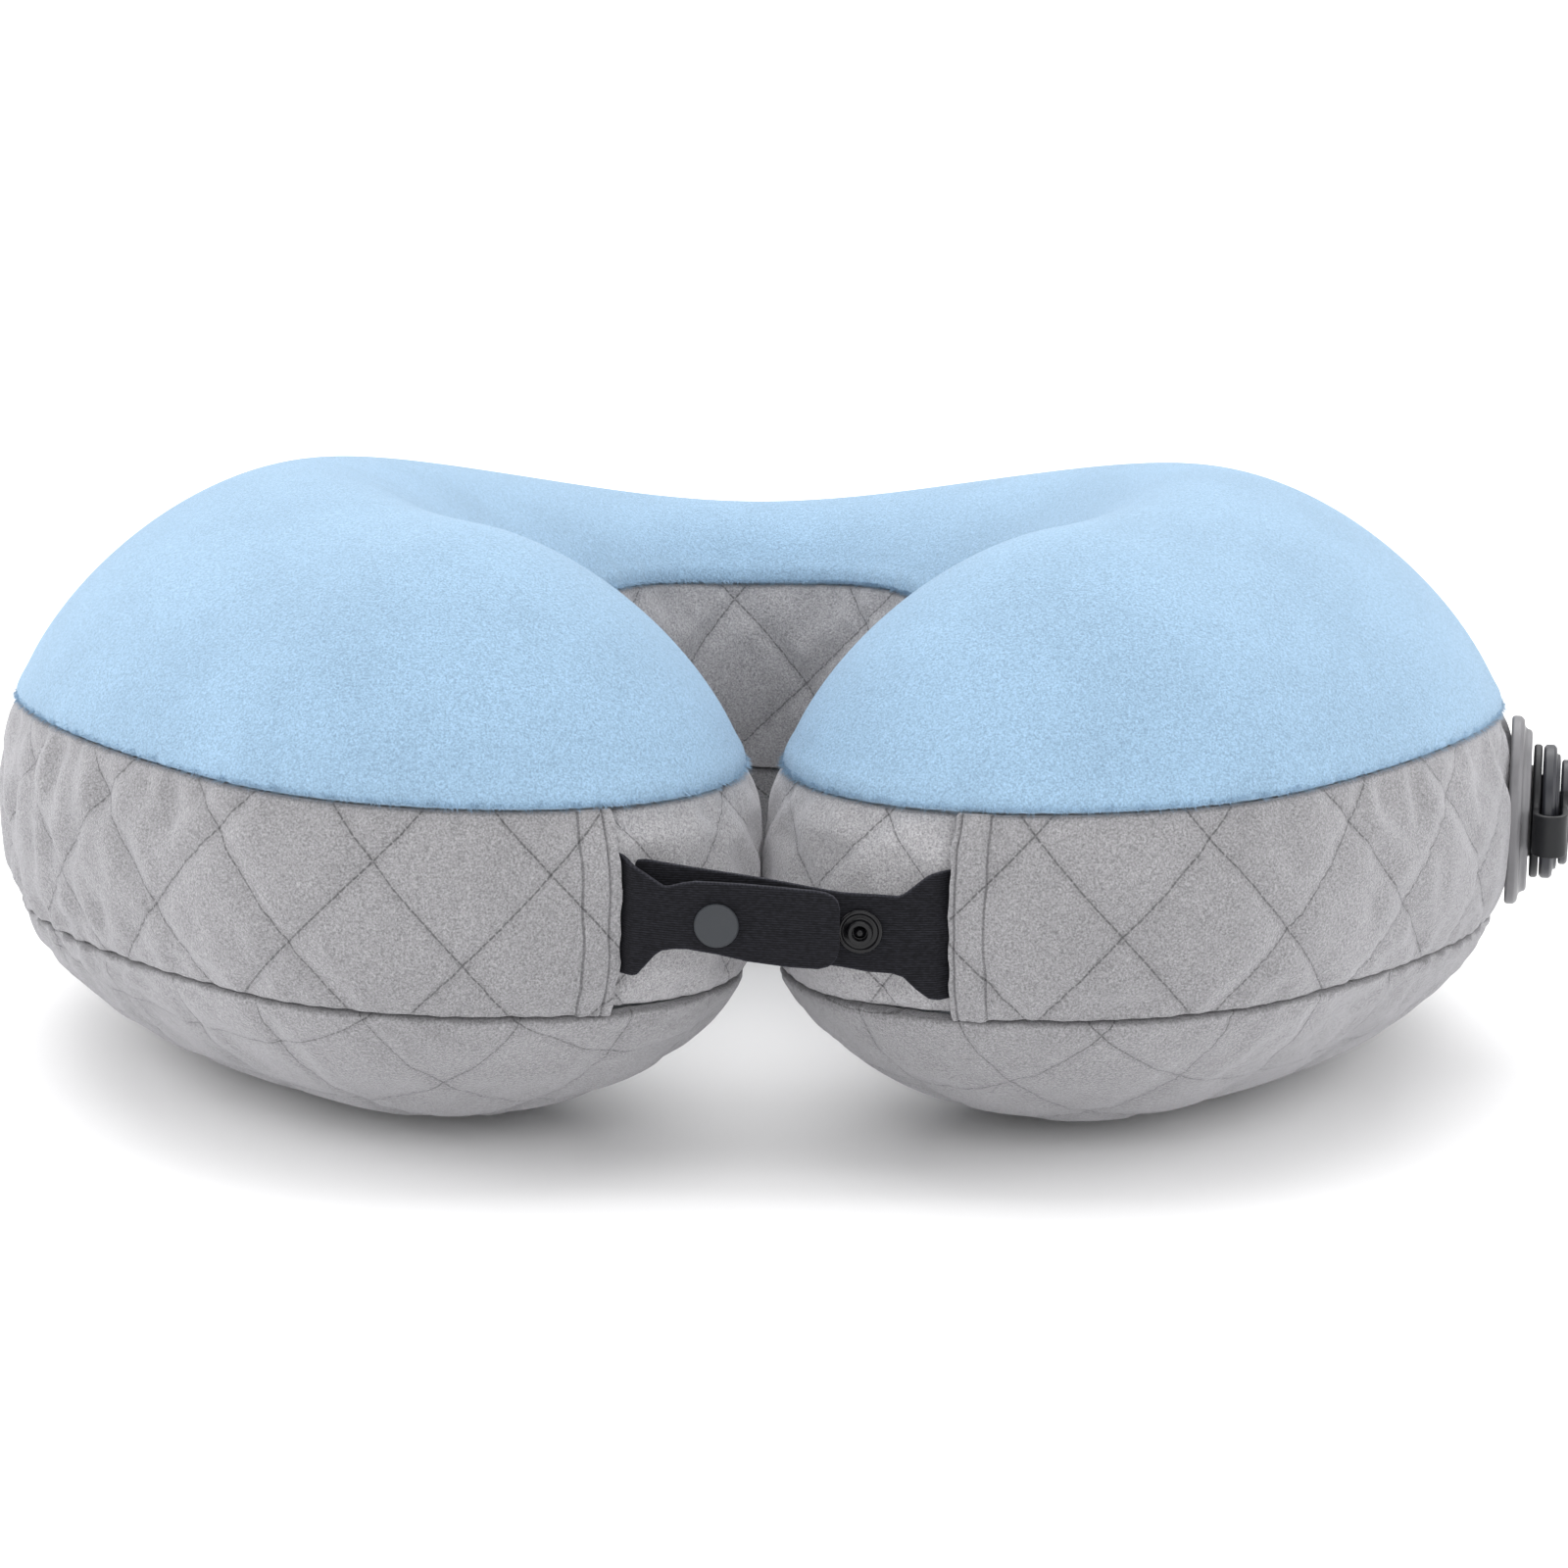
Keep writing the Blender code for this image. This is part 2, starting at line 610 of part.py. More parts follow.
def seam_surface(seam_x, side):
    """Point of the skin on a front seam, at the snaps' height."""
    seam = place_of_seam(seam_x, side)
    return skin(columns_at([seam], side), np.array([1 + SNAP_HEIGHT_SHARE]))[0]


def strap_frame():
    """Matrix at the closed snap in the left strap: X along the straps, Y into the pillow."""
    left, right = seam_surface(LEFT_SEAM_X, -1), seam_surface(RIGHT_SEAM_X, 1)
    slope = math.atan2(left[1] - right[1], RIGHT_SEAM_X - LEFT_SEAM_X) + STRAP_LEAN
    root = Vector((LEFT_SEAM_X, left[1] - STRAP_STAND_OFF, left[2]))
    rotation = Matrix.Rotation(-slope, 4, "Z")
    return Matrix.Translation(root + rotation @ Vector((SNAP_FROM_LEFT_SEAM, 0, 0))) @ rotation


def strap(stations, depth):
    """A flat band through (x, setback, middle z, width) stations, its front face at -thickness / 2."""
    builder = bmesh.new()
    rings = []
    half = STRAP_THICKNESS / 2
    for x, setback, middle, width in stations:
        corners = ((-half, -width / 2), (-half, width / 2), (half, width / 2), (half, -width / 2))
        rings.append([builder.verts.new((x, depth + setback + y, middle + z)) for y, z in corners])
    for first, second in zip(rings, rings[1:]):
        for i in range(4):
            j = (i + 1) % 4
            builder.faces.new((first[i], first[j], second[j], second[i]))
    builder.faces.new(rings[0][::-1])
    builder.faces.new(rings[-1])
    bmesh.ops.recalc_face_normals(builder, faces=builder.faces)
    return builder


def snap_stack():
    """Distances into the pillow of each layer of the closed snap, from the left strap's middle."""
    half = STRAP_THICKNESS / 2
    socket_front = half + GAP
    socket_floor = socket_front + SNAP_BASE_HEIGHT
    socket_rim = socket_floor + SNAP_BOSS_HEIGHT + SNAP_CLEARANCE
    stud_front = socket_rim + GAP
    stud_back = stud_front + SNAP_BASE_HEIGHT
    right_strap = stud_back + GAP + half
    return {"socket_front": socket_front, "socket_floor": socket_floor, "socket_rim": socket_rim,
            "stud_front": stud_front, "stud_back": stud_back, "right_strap": right_strap}


def button(depth, pointing, length):
    """A thin cap with its rivet post, as (radius, depth) points along Y. pointing is 1 into the pillow."""
    back = depth + pointing * SNAP_CAP_HEIGHT
    edge = 0.35 * MM
    return [(0, depth), (SNAP_CAP_RADIUS - edge, depth), (SNAP_CAP_RADIUS, depth + pointing * edge),
            (SNAP_CAP_RADIUS, back), (SNAP_POST_RADIUS, back), (SNAP_POST_RADIUS, back + pointing * length),
            (0, back + pointing * length)]


def straps(elastic, cap_grey, black):
    frame = add_empty("strap_frame", strap_frame())
    stack = snap_stack()
    half = STRAP_THICKNESS / 2
    start = -SNAP_FROM_LEFT_SEAM
    end = start + LEFT_STRAP_LENGTH
    corner = 3 * MM
    stations = [(start, LEFT_ROOT_SETBACK, 0, LEFT_FLARE),
                (start + 3 * MM, 0.5 * LEFT_ROOT_SETBACK, 0, LEFT_FLARE),
                (start + 7 * MM, 0.1 * LEFT_ROOT_SETBACK, 0, 0.78 * LEFT_FLARE),
                (start + FLARE_LENGTH, 0, 0, STRAP_WIDTH - 1.6 * MM),
                (start + 1.5 * FLARE_LENGTH, 0, 0, STRAP_WIDTH),
                (end - corner, 0, 0, STRAP_WIDTH),
                (end - 0.3 * corner, 0, 0, STRAP_WIDTH - 0.6 * corner),
                (end, 0, 0, STRAP_WIDTH - 2 * corner)]
    left_pivot = Vector((start, LEFT_ROOT_SETBACK, 0))
    left = add_object("strap_left", strap(stations, 0), elastic, frame, left_pivot)

    root = RIGHT_SEAM_X - LEFT_SEAM_X - SNAP_FROM_LEFT_SEAM
    tail = root - RIGHT_STRAP_LENGTH
    depth = stack["right_strap"]

    def middle(x):
        return -RIGHT_STRAP_DROP * x / root

    stations = [(root, 0, middle(root), RIGHT_FLARE), (root - 3 * MM, 0, middle(root), RIGHT_FLARE),
                (root - FLARE_LENGTH, 0, middle(root - FLARE_LENGTH), STRAP_WIDTH + 1.5 * MM),
                (root - 1.6 * FLARE_LENGTH, 0, middle(root - 1.6 * FLARE_LENGTH), STRAP_WIDTH),
                (tail + corner, 0, middle(tail), STRAP_WIDTH),
                (tail, 0, middle(tail), STRAP_WIDTH - 2 * corner)]
    right_pivot = Vector((root, depth, 0))
    right = add_object("strap_right", strap(stations[::-1], depth), elastic, frame, right_pivot)

    post = 2 * GAP + STRAP_THICKNESS + SNAP_BASE_HEIGHT
    profile = button(-half - GAP - SNAP_CAP_HEIGHT, 1, post)
    snap_part("snap_cap", profile, (0, 0), cap_grey, frame, left_pivot)
    ring = SNAP_RING_RADIUS
    hole = SNAP_POST_RADIUS + GAP
    cup = SNAP_BOSS_RADIUS + SNAP_CLEARANCE
    profile = [(hole, stack["socket_front"]), (ring - 0.4 * MM, stack["socket_front"]),
               (ring - 0.4 * MM, stack["socket_rim"]), (cup, stack["socket_rim"]),
               (cup, stack["socket_floor"]), (hole, stack["socket_floor"])]
    snap_part("snap_socket", profile, (0, 0), black, frame, left_pivot)
    boss_front = stack["stud_front"] - SNAP_BOSS_HEIGHT
    boss_inner = SNAP_BOSS_RADIUS - SNAP_BOSS_WALL
    for name, x in (("inner", 0.0), ("outer", STUD_PITCH)):
        place = (x, middle(x))
        profile = [(hole, stack["stud_back"]), (ring, stack["stud_back"]), (ring, stack["stud_front"]),
                   (SNAP_BOSS_RADIUS, stack["stud_front"]), (SNAP_BOSS_RADIUS, boss_front),
                   (boss_inner, boss_front), (boss_inner, stack["stud_front"]), (hole, stack["stud_front"])]
        snap_part("snap_stud_" + name, profile, place, black, frame, right_pivot)
        profile = button(depth + half + GAP + SNAP_CAP_HEIGHT, -1, post)
        snap_part("snap_post_" + name, profile, place, black, frame, right_pivot)
        rivet_hole(right, "hole_" + name, place, depth, frame)
    rivet_hole(left, "hole_cap", (0, 0), 0, frame)


def snap_part(name, profile, place, material, frame, pivot):
    """A turned snap piece: its profile's second value is the distance into the pillow."""
    builder = turned(profile, SNAP_SIDES, "Y", (place[0], 0, place[1]))
    add_object(name, builder, material, frame, pivot)


def rivet_hole(item, name, place, depth, frame):
    radius = SNAP_POST_RADIUS + GAP
    front, back = depth - STRAP_THICKNESS, depth + STRAP_THICKNESS
    profile = [(0, front), (radius, front), (radius, back), (0, back)]
    builder = turned(profile, HOLE_SIDES, "Y", (place[0], 0, place[1]))
    cutter = add_object(name, builder, item.data.materials[0], frame)
    boolean(item, cutter)


# ---- zip ----

def zip_circle():
    """Centre line of the zip: the level circle through the lower seam at its middle and near its ends."""
    places = np.linspace(0, 0.5, SAMPLES)
    seam = skin(columns_at(places), np.full(SAMPLES, 1.0))
    end = int(np.argmin(np.abs(seam[:, 0] - ZIP_HALF_LENGTH)))
    x, fall = seam[end, 0], seam[0, 1] - seam[end, 1]
    radius = (x * x + fall * fall) / (2 * fall)
    height = float((seam[0, 2] + seam[end, 2]) / 2)
    return Vector((0, seam[0, 1] - radius, height)), radius


def arc_strip(radius, deep, proud, low, high, start, end, steps):
    """A bar of rectangular section bent round the zip's centre. Angles turn from +Y towards +X."""
    builder = bmesh.new()
    inner, outer = radius - deep, radius + proud
    corners = ((0, inner, low), (0, outer, low), (0, outer, high), (0, inner, high))
    face = builder.faces.new([builder.verts.new(corner) for corner in corners])
    first = Matrix.Rotation(-start, 3, "Z")
    bmesh.ops.rotate(builder, verts=builder.verts, cent=(0, 0, 0), matrix=first)
    bmesh.ops.spin(builder, geom=[face], cent=(0, 0, 0), axis=(0, 0, 1), angle=start - end, steps=steps)
    bmesh.ops.remove_doubles(builder, verts=builder.verts, dist=0.00001)
    bmesh.ops.recalc_face_normals(builder, faces=builder.faces)
    return builder


def zip_fastener(tape_grey, metal):
    centre, radius = zip_circle()
    frame = add_empty("zip_centre", Matrix.Translation(centre))
    radius += ZIP_PROUD
    end = (ZIP_HALF_LENGTH - ZIP_END_MARGIN) / radius
    inner = ZIP_SLIT / 2
    outer = inner + ZIP_ROW_HEIGHT
    deep = ZIP_ROW_DEPTH / 2
    for name, low, high in (("upper", inner, outer), ("lower", -outer, -inner)):
        builder = arc_strip(radius, deep, deep, low, high, -end, end, ZIP_STEPS)
        add_object("zip_row_" + name, builder, tape_grey, frame)
    near = end + GAP / radius
    far = near + ZIP_STOP_LENGTH / radius
    for name, first, last in (("left", -far, -near), ("right", near, far)):
        builder = arc_strip(radius, deep, deep, -outer, outer, first, last, 1)
        add_object("zip_stop_" + name, builder, metal, frame)
    tapes(tape_grey)
    slider(frame, radius, end, deep, outer, metal)


def tapes(tape_grey):
    """Woven tapes behind the panels, one above the opening and one below it."""
    limit = zip_places()[0]
    places = np.linspace(-limit, limit, ZIP_STEPS + 1)
    columns = columns_at(np.abs(places), 1)
    mirror = np.where(places < 0, -1.0, 1.0)
    for key in ("foot", "direction"):
        columns[key] = columns[key] * np.stack([mirror, np.ones_like(mirror)], axis=1)
    inset = COVER_THICKNESS + ZIP_TAPE_SETBACK
    height = columns["upper"] - columns["lower"]
    near = ZIP_SLIT / 2 + ZIP_ROW_HEIGHT + ZIP_TAPE_GAP
    upper = sheet(columns, 1 + near / height, 1 + ZIP_TAPE_WIDTH / height, ZIP_TAPE_ROWS, False, inset)
    low = belly_level(columns, ZIP_TAPE_WIDTH, inset)
    lower = sheet(columns, low, belly_level(columns, near, inset), ZIP_TAPE_ROWS, False, inset)
    for name, builder in (("zip_tape_upper", upper), ("zip_tape_lower", lower)):
        thicken(add_object(name, builder, tape_grey), ZIP_TAPE_THICKNESS)


def slider(frame, radius, end, deep, outer, metal):
    """Slider at the closed end, on the +X side: two plates joined through the slit between the rows."""
    half = SLIDER_LENGTH / 2 / radius
    middle = end - half - GAP / radius
    first, last = middle - half, middle + half
    core = deep + GAP + SLIDER_PLATE / 2
    width = ZIP_SLIT / 2 - GAP
    body = add_object("zip_slider", arc_strip(radius, core, core, -width, width, first, last, SLIDER_STEPS),
                      metal, frame)
    near, far = deep + GAP, deep + GAP + SLIDER_PLATE
    first, last = first - PLATE_OVERHANG, last + PLATE_OVERHANG
    half_height = SLIDER_HEIGHT / 2
    front = arc_strip(radius, -near, far, -half_height, half_height, first, last, SLIDER_STEPS)
    back = arc_strip(radius, far, -near, -outer, outer, first, last, SLIDER_STEPS)
    for label, builder in (("front_plate", front), ("back_plate", back)):
        boolean(body, add_object(label, builder, metal, frame), "UNION")
    pull_tab(frame, body, middle, radius + far, metal)


def pull_tab(frame, body, angle, face, metal):
    """Pull hung on a pin between two ears, which stand on the slider's face at this angle."""
    out = Vector((math.sin(angle), math.cos(angle), 0))
    along = Vector((math.cos(angle), -math.sin(angle), 0))
    turn = Matrix((along, out, Vector((0, 0, 1)))).transposed().to_4x4()
    half = PULL_THICKNESS / 2
    stand = half + 2 * GAP
    mount = add_empty("zip_pull_pivot", Matrix.Translation(out * (face + stand)) @ turn)
    mount.parent = frame
    mount.matrix_parent_inverse = Matrix.Identity(4)
    root = -stand - SLIDER_PLATE / 2
    ear = PULL_WIDTH / 2 + GAP
    far = ear + EAR_THICKNESS
    for name, low, high in (("left_ear", -far, -ear), ("right_ear", ear, far)):
        builder = block((low, root, -EAR_HEIGHT / 2), (high, half, EAR_HEIGHT / 2))
        boolean(body, add_object(name, builder, metal, mount), "UNION")
    pin = PIN_SIZE / 2
    reach = ear + EAR_THICKNESS / 2
    builder = block((-reach, -pin, -pin), (reach, pin, pin))
    boolean(body, add_object("hinge_pin", builder, metal, mount), "UNION")
    low = (-PULL_WIDTH / 2, -half, -PULL_LENGTH)
    pull = add_object("zip_pull", block(low, (PULL_WIDTH / 2, half, PULL_ABOVE_PIN)), metal, mount)
    bore = pin + PIN_CLEARANCE
    hole = block((-PULL_WIDTH, -bore, -bore), (PULL_WIDTH, bore, bore))
    boolean(pull, add_object("pin_hole", hole, metal, mount))


# ---- frame ----

def centre_over_origin():
    """Moves the whole model so that the origin is under the middle of its box."""
    depsgraph = bpy.context.evaluated_depsgraph_get()
    points = []
    for item in bpy.data.objects:
        if item.type == "MESH" and not item.hide_render:
            shape = item.evaluated_get(depsgraph)
            points += [shape.matrix_world @ Vector(corner) for corner in shape.bound_box]
    points = np.array(points)
    shift = Vector(-(points.min(axis=0) + points.max(axis=0)) / 2)
    shift.z = -points[:, 2].min()
    for item in bpy.data.objects:
        if item.parent is None:
            item.location += shift


def main():
    clear_scene()
    velour = finish("blue_velour", (0.48, 0.66, 0.85), 0.95)
    quilting = finish("grey_velour", (0.33, 0.33, 0.35), 0.95)
    film = finish("clear_film", (0.72, 0.75, 0.78), 0.4)
    elastic = finish("charcoal_elastic", (0.035, 0.035, 0.045), 0.9)
    cap_grey = finish("matte_snap_grey", (0.055, 0.06, 0.07), 0.5)
    black = finish("black_plastic", (0.012, 0.012, 0.015), 0.3)
    grey = finish("valve_grey", (0.2, 0.2, 0.21), 0.4)
    dark = finish("valve_dark_grey", (0.065, 0.065, 0.08), 0.4)
    metal = finish("zip_metal", (0.3, 0.3, 0.32), 0.35, 1.0)
    tape_grey = finish("zip_tape_grey", (0.25, 0.25, 0.27), 0.85)
    outer_band = cover_panels(velour, quilting)
    side_wall = bladder(film)
    straps(elastic, cap_grey, black)
    zip_fastener(tape_grey, metal)
    bpy.context.view_layer.update()
    valve(outer_band, side_wall, grey, dark, black)
    bpy.context.view_layer.update()
    centre_over_origin()


main()
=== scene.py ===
# %% [markdown]
# # An inflatable neck pillow in its quilted travel cover
# The real pillow is a welded air bladder inside a sewn velour cover. A blue crown, two grey quilted
# bands and a grey belly are joined by seams. Two elastic straps snap together across the open front, a
# valve stands on the side and a zip closes the back.

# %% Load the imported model
import json
import math

import bpy
import numpy as np
from mathutils import Matrix, Vector


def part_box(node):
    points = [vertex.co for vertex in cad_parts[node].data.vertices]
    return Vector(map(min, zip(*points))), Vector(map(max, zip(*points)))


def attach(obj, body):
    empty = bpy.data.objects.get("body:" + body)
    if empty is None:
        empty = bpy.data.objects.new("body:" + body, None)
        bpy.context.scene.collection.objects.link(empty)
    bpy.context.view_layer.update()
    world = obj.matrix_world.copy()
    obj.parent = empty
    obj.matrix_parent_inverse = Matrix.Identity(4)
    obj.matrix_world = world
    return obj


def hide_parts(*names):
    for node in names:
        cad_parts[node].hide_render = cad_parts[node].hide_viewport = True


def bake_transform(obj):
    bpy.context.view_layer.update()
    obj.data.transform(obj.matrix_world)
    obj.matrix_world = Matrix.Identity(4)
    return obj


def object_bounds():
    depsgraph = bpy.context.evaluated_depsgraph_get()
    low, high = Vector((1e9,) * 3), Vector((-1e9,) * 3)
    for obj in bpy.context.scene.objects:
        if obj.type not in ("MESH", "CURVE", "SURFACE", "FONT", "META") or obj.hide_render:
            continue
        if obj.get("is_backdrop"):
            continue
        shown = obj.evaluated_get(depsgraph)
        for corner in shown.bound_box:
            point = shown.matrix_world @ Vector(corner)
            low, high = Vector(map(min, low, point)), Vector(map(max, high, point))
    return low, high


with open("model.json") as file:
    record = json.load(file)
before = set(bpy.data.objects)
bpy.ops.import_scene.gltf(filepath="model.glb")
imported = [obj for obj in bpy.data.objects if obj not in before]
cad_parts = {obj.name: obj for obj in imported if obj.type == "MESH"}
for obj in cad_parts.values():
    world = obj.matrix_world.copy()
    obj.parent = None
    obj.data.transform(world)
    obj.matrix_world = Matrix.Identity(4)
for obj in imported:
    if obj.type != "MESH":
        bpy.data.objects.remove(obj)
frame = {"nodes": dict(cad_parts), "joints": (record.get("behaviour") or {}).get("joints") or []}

MM = 0.001
cad_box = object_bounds()
joints = {joint["name"]: joint for joint in frame["joints"]}

# %% [markdown]
# ## The camera
# A long lens far away keeps the pillow's proportions, as in a catalogue picture. It looks slightly down,
# so that both the blue crown and the grey front show.

# %% Camera
LOOK_AT = Vector((-7.7, 35.9, 60)) * MM
AZIMUTH = math.radians(-0.9)
ELEVATION = math.radians(14.92)
ROLL = math.radians(0.64)
DISTANCE = 1.5
LENS = 130.6
FRAME_SHIFT = (0.0182, -0.0167)

camera_data = bpy.data.cameras.new("camera")
camera_data.lens = LENS
camera_data.sensor_width = 36
camera_data.shift_x, camera_data.shift_y = FRAME_SHIFT
camera = bpy.data.objects.new("camera", camera_data)
bpy.context.scene.collection.objects.link(camera)
round_z = Vector((math.sin(AZIMUTH), -math.cos(AZIMUTH), 0))
back = round_z * math.cos(ELEVATION) + Vector((0, 0, math.sin(ELEVATION)))
level = Vector((0, 0, 1)).cross(back).normalized()
upright = back.cross(level)
right_side = level * math.cos(ROLL) + upright * math.sin(ROLL)
top_side = upright * math.cos(ROLL) - level * math.sin(ROLL)
facing = Matrix((right_side, top_side, back)).transposed().to_4x4()
camera.matrix_world = Matrix.Translation(LOOK_AT + back * DISTANCE) @ facing
bpy.context.scene.camera = camera
print("camera at", [round(value, 3) for value in camera.location])

# %% [markdown]
# ## Working by hand, in code
# An operator acts on whatever is selected, so each step starts by clearing the selection.

# %% Helpers for modelling
def clear_selection():
    if bpy.context.mode != "OBJECT":
        bpy.ops.object.mode_set(mode="OBJECT")
    bpy.ops.object.select_all(action="DESELECT")


def pick(item):
    clear_selection()
    item.select_set(True)
    bpy.context.view_layer.objects.active = item


def edit_all(item):
    pick(item)
    bpy.ops.object.mode_set(mode="EDIT")
    bpy.ops.mesh.select_all(action="SELECT")


def apply_modifiers(item):
    pick(item)
    for modifier in list(item.modifiers):
        bpy.ops.object.modifier_apply(modifier=modifier.name)


def place_mesh(item, matrix):
    """Moves the shape inside the object, so that the object itself stays at the origin."""
    item.data.transform(matrix @ item.matrix_world)
    item.matrix_world = Matrix.Identity(4)


def tidy_normals(item):
    edit_all(item)
    bpy.ops.mesh.remove_doubles(threshold=0.000002)
    bpy.ops.mesh.normals_make_consistent(inside=False)
    bpy.ops.object.mode_set(mode="OBJECT")


def smooth(item, degrees=40):
    pick(item)
    bpy.ops.object.shade_smooth_by_angle(angle=math.radians(degrees))


def triangles(item):
    return sum(len(face.vertices) - 2 for face in item.data.polygons)


# %% [markdown]
# ## Writing materials
# A finish is a small network of nodes that feeds one shader. Two helpers keep the recipes short: one adds
# a node and joins its inputs, the other does one sum.

# %% Helpers for materials
def new_finish(name, **values):
    """A material and its shader. Values that are the same all over are set on the shader itself."""
    material = bpy.data.materials.new(name)
    material.use_nodes = True
    shader = material.node_tree.nodes["Principled BSDF"]
    for socket, value in values.items():
        shader.inputs[socket.replace("_", " ")].default_value = value
    return material.node_tree, shader


def add_node(tree, kind, inputs=(), **settings):
    made = tree.nodes.new(kind)
    for key, value in settings.items():
        setattr(made, key, value)
    for key, value in dict(inputs).items():
        if isinstance(value, bpy.types.NodeSocket):
            tree.links.new(value, made.inputs[key])
        else:
            made.inputs[key].default_value = value
    return made


def work_out(tree, operation, *values):
    return add_node(tree, "ShaderNodeMath", enumerate(values), operation=operation).outputs[0]


def ramp(tree, value, start, end, low=0.0, high=1.0):
    """A smooth step from low to high as the value goes from start to end."""
    inputs = {"Value": value, "From Min": start, "From Max": end, "To Min": low, "To Max": high}
    return add_node(tree, "ShaderNodeMapRange", inputs, interpolation_type="SMOOTHSTEP").outputs["Result"]


def place_in_space(tree):
    return add_node(tree, "ShaderNodeTexCoord").outputs["Object"]


def noise(tree, scale, detail=2.0, roughness=0.5, stretch=None):
    where = place_in_space(tree)
    if stretch:
        where = add_node(tree, "ShaderNodeMapping", {"Vector": where, "Scale": stretch}).outputs[0]
    inputs = {"Vector": where, "Scale": scale, "Detail": detail, "Roughness": roughness}
    return add_node(tree, "ShaderNodeTexNoise", inputs).outputs["Fac"]


def tint(tree, shader, colour, brightness):
    """Joins the colour, made brighter or darker from place to place, to the shader."""
    scaled = add_node(tree, "ShaderNodeVectorMath", {0: colour, "Scale": brightness}, operation="SCALE")
    tree.links.new(scaled.outputs["Vector"], shader.inputs["Base Color"])


def bump(tree, shader, height, distance, strength=1.0):
    inputs = {"Height": height, "Distance": distance, "Strength": strength}
    made = add_node(tree, "ShaderNodeBump", inputs)
    tree.links.new(made.outputs["Normal"], shader.inputs["Normal"])


def finish_of(tree):
    return next(material for material in bpy.data.materials if material.node_tree == tree)


def dress(item, material):
    item.data.materials.clear()
    item.data.materials.append(material)


# %% [markdown]
# ## The sewing pattern
# The cover's shape comes from one formula. The middle line of the U is part of an ellipse. At each place
# along it a section is given by how far it reaches outwards and inwards, its highest and lowest point,
# and the heights of the two seams. `turn` counts columns round the whole loop: 0 at the back, 1 where
# the right tip starts, 2 where it ends, 3 at the back of the neck, and on through the left arm to 6.
# `level` climbs the section: 0 to 1 the belly, 1 to 2 the band, 2 to 3 the crown.

# %% Dimensions of the pattern
SPINE_HALF_WIDTH = 114 * MM
SPINE_HALF_DEPTH = 108 * MM
SPINE_END_ANGLE = math.radians(137)
TIP_RADIUS = 80 * MM
# Reach outwards, reach inwards, crest, base, upper seam outside and inside, lower seam outside and inside
SECTIONS = (
    (38, 29, 112, 6, 72, 96, 38, 44),
    (47, 43, 120, 4, 73, 100, 38, 41),
    (60, 54, 133, 1, 79, 98, 37, 40),
    (70, 58, 143, -1, 84, 95, 37, 40),
    (77, 56, 148, -2.5, 95, 91, 43, 40),
    (76, 52, 148, 2, 98, 90, 47, 41),
)
BAND_BULGE = 4.2 * MM
CROWN_FULLNESS = (1.1, 1.4)
BELLY_FULLNESS = (1.06, 1.41)
LEFT_SEAM_X = -34.5 * MM
RIGHT_SEAM_X = 42.5 * MM
ZIP_HALF_LENGTH = 66 * MM
ZIP_OPENING = 3.4 * MM
ZIP_TAPER = 3 * MM
MID_BAND = 1.5
# Half of the gap that the sewing leaves between two panels, and the least height of fabric over the floor
SEAM_GAP = 0.25 * MM
LOWEST = 0.1 * MM

crown_low, crown_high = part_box("cover_top_panel")
CENTRE = np.array([
    (crown_low[0] + crown_high[0]) / 2,
    crown_high[1] - SPINE_HALF_DEPTH - SECTIONS[0][0] * MM,
])
print("middle of the U:", (CENTRE / MM).round(2), "mm")

# %% The pattern's formula
def through(values, where):
    """Cubic through equally spaced values on 0 to 1, with a level start and end."""
    values = np.asarray(values, float)
    last = len(values) - 1
    system = np.eye(last + 1)
    right = np.zeros(last + 1)
    for i in range(1, last):
        system[i, i - 1:i + 2] = 1, 4, 1
        right[i] = 3 * (values[i + 1] - values[i - 1])
    slopes = np.linalg.solve(system, right)
    span = np.clip(np.floor(where * last).astype(int), 0, last - 1)
    f = where * last - span
    rise = values[span + 1] - values[span]
    bend = f * (1 - f) * ((1 - f) * (slopes[span] - rise) + f * (rise - slopes[span + 1]))
    return values[span] + f * rise + bend


def columns(turn):
    """Foot point, direction, reach and heights of each column of the loop."""
    turn = np.asarray(turn, float) % 6
    side = np.where(turn <= 3, 1.0, -1.0)
    place = np.where(turn <= 3, turn, 6 - turn)
    share = np.where(place < 1, place, np.where(place > 2, 3 - place, 1.0))
    round_tip = np.clip(place - 1, 0, 1) * math.pi
    angle = share * SPINE_END_ANGLE
    foot = np.stack([SPINE_HALF_WIDTH * np.sin(angle) * side, SPINE_HALF_DEPTH * np.cos(angle)], axis=1)
    along = np.stack([SPINE_HALF_WIDTH * np.cos(angle), -SPINE_HALF_DEPTH * np.sin(angle)], axis=1)
    along /= np.linalg.norm(along, axis=1)[:, None]
    across = np.stack([-along[:, 1], along[:, 0]], axis=1)
    direction = across * np.cos(round_tip)[:, None] + along * np.sin(round_tip)[:, None]
    direction[:, 0] *= side
    table = [through([row[k] * MM for row in SECTIONS], share) for k in range(8)]
    inward = (1 - np.cos(round_tip)) / 2
    squared = np.cos(round_tip) ** 2
    return {
        "foot": foot + CENTRE,
        "direction": direction,
        "reach": (table[0] * (1 - inward) + table[1] * inward) * squared + TIP_RADIUS * (1 - squared),
        "crest": table[2],
        "base": table[3],
        "upper": table[4] * (1 - inward) + table[5] * inward,
        "lower": table[6] * (1 - inward) + table[7] * inward,
    }


